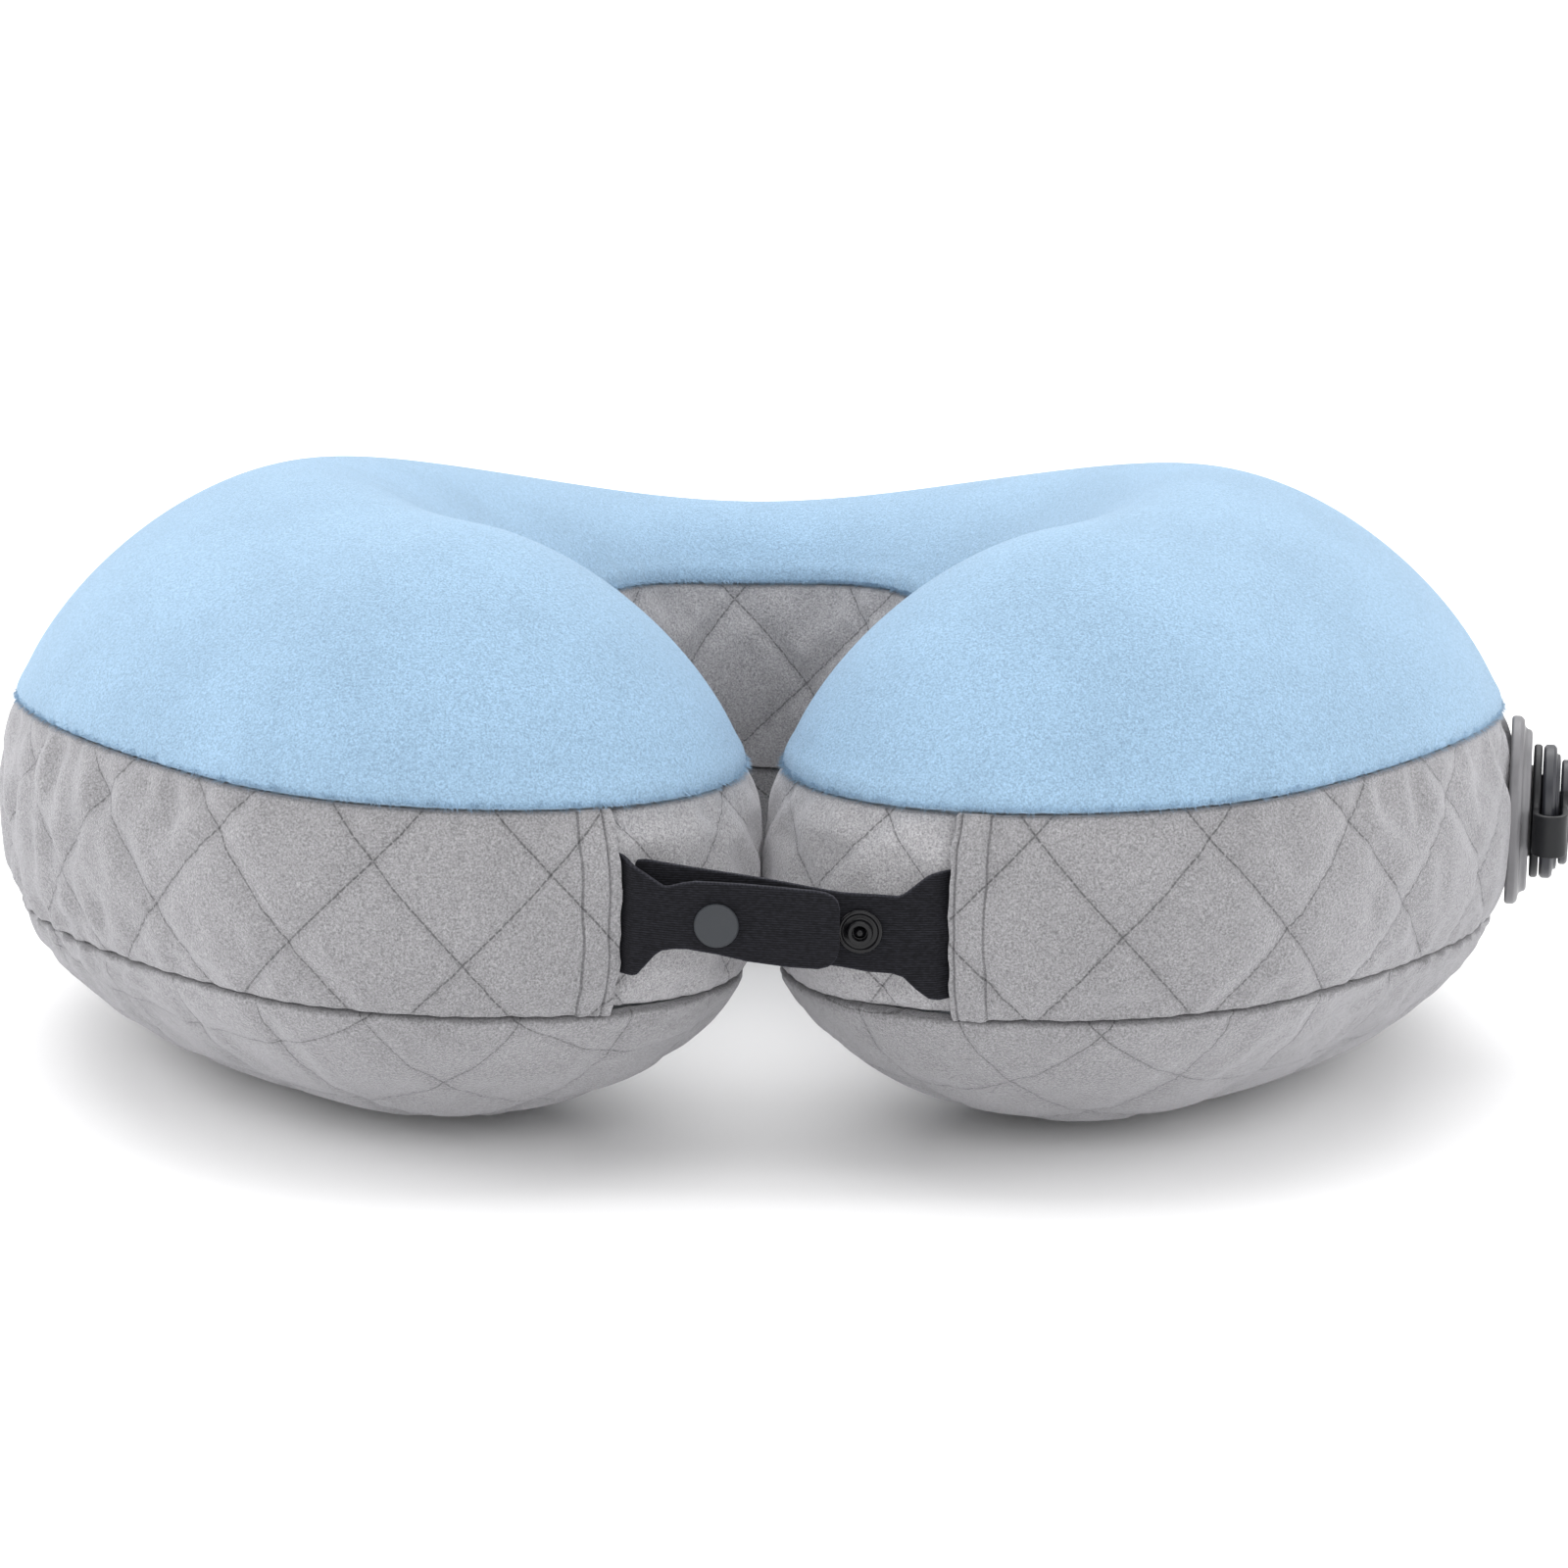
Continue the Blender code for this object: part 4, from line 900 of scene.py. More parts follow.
# %% Where the valve stands
flange_low, flange_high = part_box("valve_flange")
plug_axis = Vector(joints["plug_pull"]["axis"])
side_axis = Vector((0, 0, 1)).cross(plug_axis)
flange_middle = (flange_low + flange_high) / 2
VALVE_BACK = 1.95 * MM
VALVE_HOLE = 16 * MM
valve_turn = Matrix((side_axis, (0, 0, 1), plug_axis)).transposed().to_4x4()
VALVE = Matrix.Translation(flange_middle - plug_axis * VALVE_BACK) @ valve_turn
print("valve faces", [round(value, 3) for value in plug_axis])

# %% Rows and columns of the bands
def spaced(length, finest, widest, fine_until=0.0):
    """Distances from an end: small steps up to a distance, then wider and wider ones."""
    steps = [0.0]
    step = finest
    while steps[-1] < length / 2:
        steps.append(steps[-1] + step)
        if steps[-1] > fine_until:
            step = min(step * 1.12, widest)
    steps = np.array(steps) * (length / 2) / steps[-1]
    return np.concatenate([steps, length - steps[-2::-1]])


def band_rows(count):
    even = np.linspace(0, 1, count)
    return even - 0.7 * np.sin(even * math.tau) / math.tau


# %% Shape the outer band
HEM_WIDTH = 10.5 * MM
HEM_STAND = 1.1 * MM
left_arc, right_arc = arc_of(LEFT_SEAM), arc_of(RIGHT_SEAM)
outer_arc = left_arc + spaced(right_arc - left_arc, 0.27 * MM, 1.9 * MM, HEM_WIDTH)
outer_turns = turn_of(outer_arc)
outer_loop = columns(outer_turns)
height = outer_loop["upper"] - outer_loop["lower"]
low = 1 + (SEAM_GAP + zip_gap(outer_loop)) / height
levels = low + (2 - SEAM_GAP / height - low) * band_rows(34)[:, None]
base = skin_grid(outer_loop, levels)
normals = grid_normals(base, False)
up = (levels - 1) * height
first, second = outer_lattice(outer_arc, up)
from_end = np.minimum(outer_arc - left_arc, right_arc - outer_arc)
left_end = outer_arc < 0
stitch_in = np.where(left_end, 2.9 * MM, 1.4 * MM)
stitch_out = np.where(left_end, 9.0 * MM, 8.4 * MM)
hem = HEM_STAND * (1 - blend_over(from_end, stitch_out - 0.3 * MM, stitch_out + 1.2 * MM))
hem += groove(from_end - stitch_in, 0.6 * MM, 0.5 * MM) + groove(from_end - stitch_out, 0.7 * MM, 0.6 * MM)
hem += 0.5 * MM * np.exp(-from_end / (25 * MM))
stitching = sum(np.exp(-((from_end - line) / (0.3 * MM)) ** 2) for line in (stitch_in, stitch_out))
seam_distance = np.minimum(up - up[:1], up[-1:] - up)
folds = ripple(outer_arc, -368 * MM, 38 * MM, 13 * MM, 0.55 * MM)
folds += ripple(outer_arc, -326 * MM, 30 * MM, 17 * MM, 0.35 * MM)
pucker = puckered(seam_distance, outer_arc, 4 * MM, 0.18 * MM, 6.7 * MM)
relief = hem + rolled_edge(seam_distance, 0.9 * MM) + rolled_edge(from_end, 0.7 * MM) + pucker + folds
relief = relief + quilt_relief(first, second) * blend_over(from_end, 2 * MM, 9 * MM)
# Where the snap lies when the left strap is folded back, the band keeps to its pattern and dips a little
from_landing = (outer_arc - left_arc - 24 * MM) / (15 * MM), (up - 27 * MM) / (17 * MM)
landing = np.exp(-from_landing[0] ** 2 - from_landing[1] ** 2)
points = base + movement(outer_turns, levels) * (1 - 0.85 * landing)[..., None]
relief = relief - 0.8 * MM * landing
fray = 0.25 * MM * np.sin(up / (3.1 * MM)) + 0.18 * MM * np.sin(up / (1.27 * MM))
tangent = np.gradient(points, axis=1)
tangent /= np.linalg.norm(tangent, axis=2, keepdims=True)
points += tangent * (fray * np.exp(-from_end / (1.2 * MM)))[..., None]
print("outer band reaches", (left_arc / MM).round(1), (right_arc / MM).round(1))

# %% [markdown]
# The valve's neck passes through the band, so the band gets a round hole there. The flange covers its edge.

# %% Sew the outer band
marks = sewing_marks(first, second, seam_distance, stitching)
sheet = (points, normals, relief)
outer_band = sew_panel("outer_band_velour", sheet, marks, grey_velour, (0, -1), closed=False,
                       hole=(VALVE, VALVE_HOLE))
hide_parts("cover_outer_band")
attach(outer_band, "pillow")

# %% [markdown]
# ## The inner band
# The inner band lines the neck opening and carries on round both tips, where it lies behind the hems. It
# starts under the hem and is set back there by the thickness of the folded fabric.

# %% Sew the inner band
UNDERLAP = 5 * MM
inner_start, inner_end = right_arc - UNDERLAP, LOOP_LENGTH + left_arc + UNDERLAP
inner_arc = inner_start + spaced(inner_end - inner_start, 0.6 * MM, 1.8 * MM)
inner_turns = turn_of(inner_arc)
inner_loop = columns(inner_turns)
height = inner_loop["upper"] - inner_loop["lower"]
levels = 1 + SEAM_GAP / height + (1 - 2 * SEAM_GAP / height) * band_rows(36)[:, None]
base = skin_grid(inner_loop, levels)
normals = grid_normals(base, False)
up = (levels - 1) * height
first, second = inner_lattice(inner_arc, up)
seam_distance = np.minimum(up - up[:1], up[-1:] - up)
from_hem = np.minimum(inner_arc - right_arc, LOOP_LENGTH + left_arc - inner_arc)
set_back = -1.9 * MM * (1 - blend_over(from_hem, 2 * MM, 45 * MM))
set_back -= 0.9 * MM * (1 - blend_over(from_hem, -1 * MM, 4 * MM))
pucker = puckered(seam_distance, inner_arc, 4 * MM, 0.18 * MM, 7.7 * MM)
relief = set_back + rolled_edge(seam_distance, 0.9 * MM) + quilt_relief(first, second) + pucker
sheet = (base + movement(inner_turns, levels), normals, relief)
marks = sewing_marks(first, second, seam_distance)
# Its velour is painted lighter than the outer band's, for the shade inside the U.
inner_band = sew_panel("inner_band_velour", sheet, marks, inner_velour_painted_lighter, (0, -1), closed=False)
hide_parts("cover_inner_band")
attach(inner_band, "pillow")

# %% [markdown]
# ## Turned parts
# Snaps and valve parts are round mouldings. A circle is added, then extruded ring by ring: each extrusion
# is resized and lifted to the next point of the part's outline. The last ring is merged to a point on the
# axis, or onto the first ring where the part is hollow.

# %% Helper for turned parts
def turned(name, outline, matrix, segments=72):
    """A round part from (radius, height) points in millimetres, placed by the matrix."""
    clear_selection()
    radius, height = outline[0]
    closed_start = radius == 0
    radius = max(radius, 0.01)
    bpy.ops.mesh.primitive_circle_add(vertices=segments, radius=radius * MM, location=(0, 0, 0))
    item = bpy.context.object
    item.name = item.data.name = name
    edit_all(item)
    bpy.ops.transform.translate(value=(0, 0, height * MM))
    if closed_start:
        bpy.ops.mesh.edge_face_add()
        bpy.ops.mesh.select_all(action="SELECT")
    for next_radius, next_height in outline[1:]:
        next_radius = max(next_radius, 0.01)
        bpy.ops.mesh.extrude_region_move()
        share = next_radius / radius
        bpy.ops.transform.resize(value=(share, share, 1), center_override=(0, 0, 0))
        bpy.ops.transform.translate(value=(0, 0, (next_height - height) * MM))
        radius, height = next_radius, next_height
    if outline[-1][0] == 0:
        bpy.ops.mesh.merge(type="CENTER")
    bpy.ops.object.mode_set(mode="OBJECT")
    place_mesh(item, matrix)
    tidy_normals(item)
    return item


def rounded(points, radius, steps=4):
    """Rounds the inner corners of an outline of (radius, height) points."""
    result = [points[0]]
    for before, corner, after in zip(points, points[1:], points[2:]):
        before, corner, after = map(np.array, (before, corner, after))
        back, ahead = before - corner, after - corner
        reach = min(radius, np.linalg.norm(back) * 0.45, np.linalg.norm(ahead) * 0.45)
        start = corner + back / np.linalg.norm(back) * reach
        end = corner + ahead / np.linalg.norm(ahead) * reach
        for f in np.linspace(0, 1, steps + 1):
            result.append(tuple((1 - f) ** 2 * start + 2 * f * (1 - f) * corner + f ** 2 * end))
    return result + [points[-1]]


# %% [markdown]
# ## Elastic straps
# The straps are woven elastic, cut to shape: each flares out to a wide foot at its hem, like a dog bone,
# and the loose end has rounded corners. A grid is added, and its points are moved onto the outline. The
# straps swing at the hems.

# %% Strap finish
STRAP_SLOPE = math.radians(4.92)
tree, shader = new_finish("ribbed_charcoal_elastic", Roughness=0.85, Sheen_Weight=0.08, Sheen_Roughness=0.5,
                          Sheen_Tint=(0.5, 0.5, 0.56, 1), Specular_IOR_Level=0.12)
RIB_PITCH = 0.56 * MM
PICOT_PITCH = 0.9 * MM
along, _, height = add_node(tree, "ShaderNodeSeparateXYZ", {0: place_in_space(tree)}).outputs
rib = work_out(tree, "PINGPONG", times(tree, height, 1 / RIB_PITCH), 0.5)
grain = noise(tree, 2200, 2, 0.6, (0.35, 0.35, 1.0))
edge = add_node(tree, "ShaderNodeAttribute", attribute_name="edge").outputs["Fac"]
picot = work_out(tree, "PINGPONG", times(tree, along, 1 / PICOT_PITCH), 0.5)
bright = times(tree, ramp(tree, rib, 0.05, 0.45, 0.55, 1.5), ramp(tree, grain, 0.3, 0.7, 0.6, 1.4))
selvedge = times(tree, ramp(tree, edge, 0.15, 0.5, 1, 0), ramp(tree, picot, 0.1, 0.4, 0.4, 1))
bright = work_out(tree, "ADD", bright, times(tree, selvedge, 1.6))
tint(tree, shader, (0.0088, 0.0088, 0.0112), bright)
bump(tree, shader, work_out(tree, "ADD", rib, times(tree, grain, 0.4)), 0.16 * MM, 0.7)
elastic = finish_of(tree)

# %% Where the straps lie
snap_low, snap_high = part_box("snap_cap")
along_straps = Matrix.Rotation(-STRAP_SLOPE, 4, "Z") @ Matrix.Translation((0, 0.35 * MM, 0))
STRAP_FRAME = Matrix.Translation((snap_low + snap_high) / 2) @ along_straps
print("closed snap at", [round(value / MM, 1) for value in STRAP_FRAME.translation])

# %% Helper for straps
STRAP_THICKNESS = 1.1
STRAP_ROWS = 20


def ribbon(name, tops, bottoms, depth, step=0.5):
    """A strap between two outlines of (along, up) points in millimetres. depth gives its setback."""
    xs = np.arange(tops[0][0], tops[-1][0] + step / 2, step)
    corner = np.array([0.03, 0.1, 0.2, 0.35])
    xs = np.unique(np.concatenate([xs, tops[-1][0] - corner, tops[0][0] + corner]).round(4))
    clear_selection()
    bpy.ops.mesh.primitive_grid_add(x_subdivisions=len(xs) - 1, y_subdivisions=STRAP_ROWS, size=1)
    item = bpy.context.object
    item.name = item.data.name = name
    coords = np.empty(len(item.data.vertices) * 3)
    item.data.vertices.foreach_get("co", coords)
    coords = coords.reshape(-1, 3)
    column = np.rint((coords[:, 0] + 0.5) * (len(xs) - 1)).astype(int)
    x = xs[column]
    share = coords[:, 1] + 0.5
    top = np.interp(x, *zip(*tops))
    bottom = np.interp(x, *zip(*bottoms))
    z = bottom + (top - bottom) * share
    placed = np.column_stack([x, depth(x, z), z]) * MM
    item.data.vertices.foreach_set("co", placed.reshape(-1))
    item.data.update()
    edge = np.minimum(top - z, z - bottom)
    store_points(item, "edge", edge, "FLOAT")
    edit_all(item)
    bpy.ops.mesh.normals_make_consistent(inside=False)
    bpy.ops.object.mode_set(mode="OBJECT")
    if item.data.polygons[0].normal.y > 0:
        item.data.flip_normals()
    wall = item.modifiers.new("wall", "SOLIDIFY")
    wall.thickness = STRAP_THICKNESS * MM
    wall.offset = 0
    round_off = item.modifiers.new("edge", "BEVEL")
    round_off.width = 0.3 * MM
    round_off.segments = 2
    round_off.limit_method = "ANGLE"
    apply_modifiers(item)
    place_mesh(item, STRAP_FRAME)
    smooth(item, 35)
    dress(item, elastic)
    print(name, triangles(item), "triangles")
    return item


# %% Left strap
def left_depth(x, z):
    """Setback of the left strap: its foot dips under the hem and follows the bulge of the band."""
    foot = blend_over(-x, 9.0, 22.0)
    tucked = blend_over(-x, 19.0, 23.5)
    curl = blend_over(x, 16.0, 30.0)
    bulge = 1.3 * (z / 14.5) ** 2
    return 2.0 * foot + (3.6 + bulge) * tucked - 0.9 * curl + 0.25 * np.sin(x / 4.1) * (1 - foot)


left_tops = (
    (-27.5, 15.6), (-24.5, 14.8), (-22.5, 14.2), (-19.0, 12.6), (-14.0, 9.6), (-12.3, 8.7), (-10.8, 9.0),
    (-8.0, 9.8), (-5.0, 10.3), (0, 10.1), (10.7, 9.6), (22.6, 9.0), (25.3, 8.6), (27.0, 7.8), (28.0, 6.6),
    (28.45, 4.8),
)
left_bottoms = (
    (-27.5, -14.6), (-24.5, -14.4), (-22.0, -14.1), (-18.6, -13.2), (-16.6, -10.8), (-14.4, -8.1),
    (-12.6, -6.7), (-10.0, -6.1), (-6.8, -6.0), (0, -7.1), (7.3, -8.7), (17.0, -9.6), (23.8, -9.7),
    (26.2, -9.0), (27.8, -7.4), (28.45, -5.0),
)
left_strap = ribbon("elastic_strap_left", left_tops, left_bottoms, left_depth)
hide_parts("strap_left")

# %% Right strap
RIGHT_DEPTH = 5.7


def right_depth(x, z):
    """Setback of the right strap, whose foot dips under the other hem."""
    foot = blend_over(x, 41.0, 52.0)
    tucked = blend_over(x, 50.0, 54.8)
    bulge = 1.3 * ((z + 3.2) / 15.5) ** 2
    return RIGHT_DEPTH + 1.3 * foot + (1.9 + bulge) * tucked + 0.2 * np.sin(x / 5.3)


right_tops = (
    (-19.5, 12.6), (-19.0, 13.3), (-17.0, 13.5), (10.7, 9.7), (28.4, 7.0), (41.8, 6.4), (43.0, 6.9),
    (45.2, 8.6), (48.0, 10.9), (49.4, 11.7), (51.5, 12.1), (58.5, 12.2),
)
right_bottoms = (
    (-19.5, -3.6), (-19.0, -4.3), (-17.0, -4.6), (10.7, -8.6), (28.4, -10.8), (35.0, -11.9), (40.6, -12.2),
    (43.0, -13.0), (46.2, -16.2), (49.0, -18.3), (51.5, -18.8), (58.5, -18.6),
)
right_strap = ribbon("elastic_strap_right", right_tops, right_bottoms, right_depth)
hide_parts("strap_right")

# %% Bake each strap's placement into its mesh
for strap, body, root in ((left_strap, "left_strap", -23.0), (right_strap, "right_strap", 54.3)):
    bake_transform(strap)

# %% [markdown]
# ## Snaps
# A snap is four small parts: a flat cap riveted through one strap to a socket, and a stud riveted through
# the other. The right strap has a second stud, for a tighter fit, which shows beside the left strap's end.

# %% Snap finishes
def moulded(name, colour, roughness, grain, specular=0.45):
    tree, shader = new_finish(name, Specular_IOR_Level=specular)
    cloud = noise(tree, 160, 3, 0.6)
    fine = noise(tree, 2600, 2, 0.7)
    tint(tree, shader, colour, ramp(tree, cloud, 0.3, 0.7, 0.93, 1.07))
    gloss = ramp(tree, cloud, 0.25, 0.75, roughness * 0.85, roughness * 1.15)
    tree.links.new(gloss, shader.inputs["Roughness"])
    bump(tree, shader, fine, 0.05 * MM, grain)
    return finish_of(tree)


snap_grey = moulded("matte_snap_plastic", (0.021, 0.024, 0.029), 0.55, 0.5)
gloss_black = moulded("glossy_black_plastic", (0.004, 0.004, 0.005), 0.2, 0.15, specular=0.28)
soft_black = moulded("soft_black_rubber", (0.008, 0.0085, 0.010), 0.42, 0.5, specular=0.3)
valve_dark = moulded("dark_valve_vinyl", (0.026, 0.027, 0.033), 0.36, 0.4, specular=0.35)
valve_light = moulded("grey_valve_vinyl", (0.15, 0.148, 0.156), 0.42, 0.4)
print("moulded finishes made")

# %% Cap, socket and studs
def snap_place(x, depth, drop=0.0):
    """Matrix whose Z points at the viewer from a strap, at this distance along it."""
    facing = Matrix.Rotation(math.pi / 2, 4, "X")
    return STRAP_FRAME @ Matrix.Translation(Vector((x, depth, drop)) * MM) @ facing


def ride_for(item, node, body, material):
    smooth(item, 30)
    dress(item, material)
    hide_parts(node)
    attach(item, body)
    print(item.name, triangles(item), "triangles")


disc = rounded([
    (1.1, 0.75), (5.1, 0.75), (5.25, 0.95), (5.25, 1.55), (4.85, 2.05), (4.3, 2.0), (3.0, 2.0),
], 0.25)
cap_outline = [(0, -1.5), (1.1, -1.5), (1.1, 0.75)] + disc[1:] + [(0, 2.0)]
cap = turned("snap_cap_disc", cap_outline, snap_place(0, 0))
ride_for(cap, "snap_cap", "left_strap", snap_grey)
socket_outline = rounded([
    (1.5, -0.9), (4.9, -0.9), (4.9, -3.2), (4.2, -3.6), (3.3, -3.6), (3.3, -1.8), (1.5, -1.8), (1.5, -0.9),
], 0.2)
socket = turned("snap_socket_ring", socket_outline, snap_place(0, 0))
ride_for(socket, "snap_socket", "left_strap", gloss_black)


def stud(name, x, drop):
    front = 0.9
    base = [
        (1.5, front), (1.5, front + 0.9), (1.75, front + 0.9), (1.75, front + 2.2), (1.95, front + 2.45),
        (2.7, front + 2.45), (2.95, front + 2.2), (2.85, front + 1.3), (3.1, front + 0.75),
        (4.1, front + 0.6), (4.4, front + 0.95), (4.9, front + 1.0), (5.25, front + 0.7), (5.25, front),
        (1.5, front),
    ]
    return turned(name, rounded(base, 0.16), snap_place(x, RIGHT_DEPTH, drop))


rivet_side = rounded([
    (0.01, -2.2), (4.6, -2.2), (5.25, -1.8), (5.25, -0.9), (1.1, -0.9), (1.1, 2.3), (0.7, 2.9), (0.01, 3.0),
], 0.2)
rivet_outline = [(0, -2.2)] + rivet_side[1:] + [(0, 3.0)]
for place, x in (("inner", 0.0), ("outer", 33.0)):
    drop = -3.2 * x / 54
    ride_for(stud("snap_stud_ring_" + place, x, drop), "snap_stud_" + place, "right_strap", gloss_black)
    rivet = turned("snap_rivet_" + place, rivet_outline, snap_place(x, RIGHT_DEPTH, drop))
    ride_for(rivet, "snap_post_" + place, "right_strap", gloss_black)

# %% [markdown]
# ## The valve
# The valve is a stack of soft vinyl rings on the side. The grey flange is welded to the bladder and lies
# over the cover. A wide dump plug sits in its neck, a small cap closes the plug, and a black tether holds
# the cap by a U-shaped bend. From the edge the stack shows as thin discs.

# %% Flange and plug
flange_outline = rounded([
    (11.8, -1.0), (23.2, -1.0), (23.75, -0.5), (23.75, 1.3), (22.9, 2.2), (21.2, 2.45), (20.6, 3.0),
    (20.3, 4.0), (19.6, 4.35), (11.8, 4.35), (11.8, -1.0),
], 0.35)
flange = turned("valve_flange_disc", flange_outline, VALVE, 96)
ride_for(flange, "valve_flange", "pillow", valve_light)
plug_outline = rounded([
    (5.5, -4.5), (8.7, -4.5), (9.15, -4.0), (9.15, -2.0), (8.1, -2.0), (8.1, -0.6), (9.15, -0.6), (9.15, 7.3),
    (16.1, 7.3), (16.85, 8.0), (16.85, 9.9), (16.1, 10.6), (14.6, 10.75), (14.4, 11.5), (13.6, 11.65),
    (5.5, 11.65), (5.5, -4.5),
], 0.3)
plug = turned("dump_plug_disc", plug_outline, VALVE, 96)
ride_for(plug, "dump_plug", "plug", valve_dark)

# %% [markdown]
# The cap and its tether are one moulding in real life. The ring lies under the plug's rim, its arm runs
# to the front, bends outwards in a wide U and joins the cap. The bend is the living hinge.

# %% Cap
disc = rounded([
    (5.2, 11.95), (12.7, 11.95), (13.2, 12.4), (13.2, 13.6), (12.6, 14.25), (7.7, 14.3), (7.2, 14.85),
    (6.0, 14.95),
], 0.3)
cap_outline = [(0, 9.2), (5.0, 9.2), (5.2, 9.5), (5.2, 11.95)] + disc[1:] + [(0, 14.95)]
ride_for(turned("inflation_cap_disc", cap_outline, VALVE, 80), "inflation_cap", "cap", valve_dark)
ring = rounded([
    (9.5, 4.85), (16.3, 4.85), (16.8, 5.3), (16.8, 6.5), (16.3, 7.0), (9.5, 7.0), (9.5, 4.85),
], 0.3)
ride_for(turned("tether_ring", ring, VALVE, 80), "cap_tether", "plug", soft_black)


# %% The U bend
def band_along(name, path, half_widths, thickness, matrix):
    """A flat band that follows (along, height) points, with its own half width at each of them."""
    count = len(path)
    clear_selection()
    bpy.ops.mesh.primitive_grid_add(x_subdivisions=count - 1, y_subdivisions=8, size=1)
    item = bpy.context.object
    item.name = item.data.name = name
    coords = np.empty(len(item.data.vertices) * 3)
    item.data.vertices.foreach_get("co", coords)
    coords = coords.reshape(-1, 3)
    column = np.rint((coords[:, 0] + 0.5) * (count - 1)).astype(int)
    path = np.array(path)[column]
    width = np.array(half_widths)[column] * 2
    placed = np.column_stack([path[:, 0], coords[:, 1] * width, path[:, 1]]) * MM
    item.data.vertices.foreach_set("co", placed.reshape(-1))
    item.data.update()
    wall = item.modifiers.new("wall", "SOLIDIFY")
    wall.thickness = thickness * MM
    wall.offset = 0
    wall.use_even_offset = True
    round_off = item.modifiers.new("edge", "BEVEL")
    round_off.width = 0.3 * MM
    round_off.segments = 3
    round_off.limit_method = "ANGLE"
    apply_modifiers(item)
    place_mesh(item, matrix)
    tidy_normals(item)
    return item


toward_front = -1 if side_axis.y > 0 else 1
LOW, HIGH, REACH = 5.9, 13.1, 24.6
BEND_RADIUS = (HIGH - LOW) / 2
TETHER_HALF_WIDTH = 5.3
bend_middle = (REACH - BEND_RADIUS, LOW + BEND_RADIUS)


def flared(x, root, extra, length):
    """Half width of the tether, which flares out where it leaves its ring or its cap."""
    return TETHER_HALF_WIDTH + extra * max(0.0, 1 - (x - root) / length) ** 2


lower_run = [(x, LOW) for x in np.linspace(13.5, bend_middle[0], 12)]
turn_round = [(bend_middle[0] + BEND_RADIUS * math.sin(a), bend_middle[1] - BEND_RADIUS * math.cos(a))
              for a in np.linspace(0.12, math.pi - 0.12, 22)]
upper_run = [(x, HIGH) for x in np.linspace(bend_middle[0], 10.5, 14)]
bend = lower_run + turn_round + upper_run
widths = [flared(x, 13.5, 4.2, 4.5) if z < 9 else flared(x, 10.5, 3.2, 4.0) for x, z in bend]
bend = [(toward_front * x, z) for x, z in bend]
tether = band_along("tether_bend", bend, widths, 1.5, VALVE)
smooth(tether, 35)
dress(tether, soft_black)
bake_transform(tether)
print("tether bend", triangles(tether), "triangles")

# %% [markdown]
# ## The zip
# A coil zip closes the cover below the band at the back. Each row is a line of small hooked teeth, one
# tooth shaped once and copied along the curve, with its own mesh in each row.

# %% Zip finishes and places
ZIP_CENTRE = Vector(joints["zip_travel"]["pos_m"])
row_low, row_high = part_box("zip_row_upper")
ZIP_RADIUS = row_high[1] - ZIP_CENTRE[1] - 1 * MM
zip_grey = moulded("woven_zip_grey", (0.20, 0.20, 0.215), 0.7, 1.0)
tree, shader = new_finish("brushed_zip_metal", Metallic=1.0, Roughness=0.34, Anisotropic=0.3)
scratch = noise(tree, 700, 2, 0.7, (1, 1, 0.12))
tint(tree, shader, (0.42, 0.42, 0.45), ramp(tree, scratch, 0.3, 0.7, 0.85, 1.1))
bump(tree, shader, scratch, 0.03 * MM, 0.5)
zip_metal = finish_of(tree)


def along_zip(angle):
    """Matrix at this angle from the zip's middle: Y points out of the pillow and X along the zip."""
    turned_there = Matrix.Translation(ZIP_CENTRE) @ Matrix.Rotation(-angle, 4, "Z")
    return turned_there @ Matrix.Translation((0, ZIP_RADIUS, 0))


# %% Teeth
def tooth(side):
    clear_selection()
    bpy.ops.mesh.primitive_cube_add(size=1, location=(0, 0, 0))
    item = bpy.context.object
    item.dimensions = (0.75 * MM, 1.7 * MM, 1.5 * MM)
    bpy.ops.object.transform_apply(scale=True)
    round_off = item.modifiers.new("edge", "BEVEL")
    round_off.width = 0.28 * MM
    round_off.segments = 1
    apply_modifiers(item)
    place_mesh(item, Matrix.Translation((0, 0, side * 1.15 * MM)))
    return item


zip_half = (row_high[0] - row_low[0]) / 2 / ZIP_RADIUS
TOOTH_PITCH = 1.35 * MM
pitch = TOOTH_PITCH / ZIP_RADIUS
for side, node in ((1, "zip_row_upper"), (-1, "zip_row_lower")):
    pattern = tooth(side)
    copies = []
    for angle in np.arange(-zip_half, zip_half, pitch) + (pitch / 2 if side > 0 else 0):
        copy = bpy.data.objects.new("tooth", pattern.data.copy())
        bpy.context.scene.collection.objects.link(copy)
        copy.data.transform(along_zip(angle))
        copies.append(copy)
    bpy.data.objects.remove(pattern, do_unlink=True)
    clear_selection()
    for copy in copies:
        copy.select_set(True)
    bpy.context.view_layer.objects.active = copies[0]
    bpy.ops.object.join()
    row = bpy.context.object
    row.name = row.data.name = node.replace("row", "teeth")
    ride_for(row, node, "pillow", zip_grey)

# %% [markdown]
# The slider is two plates joined by a core between the rows, with two ears that carry the pull's pin. The
# pull is an open frame with a solid end to hold.

# %% Helpers for small metal parts
def bar(size, middle, edge=0.25):
    """A block with softened edges, from its size and its middle in millimetres."""
    clear_selection()
    bpy.ops.mesh.primitive_cube_add(size=1, location=(0, 0, 0))
    item = bpy.context.object
    item.dimensions = Vector(size) * MM
    bpy.ops.object.transform_apply(scale=True)
    round_off = item.modifiers.new("edge", "BEVEL")
    round_off.width = edge * MM
    round_off.segments = 2
    apply_modifiers(item)
    place_mesh(item, Matrix.Translation(Vector(middle) * MM))
    return item


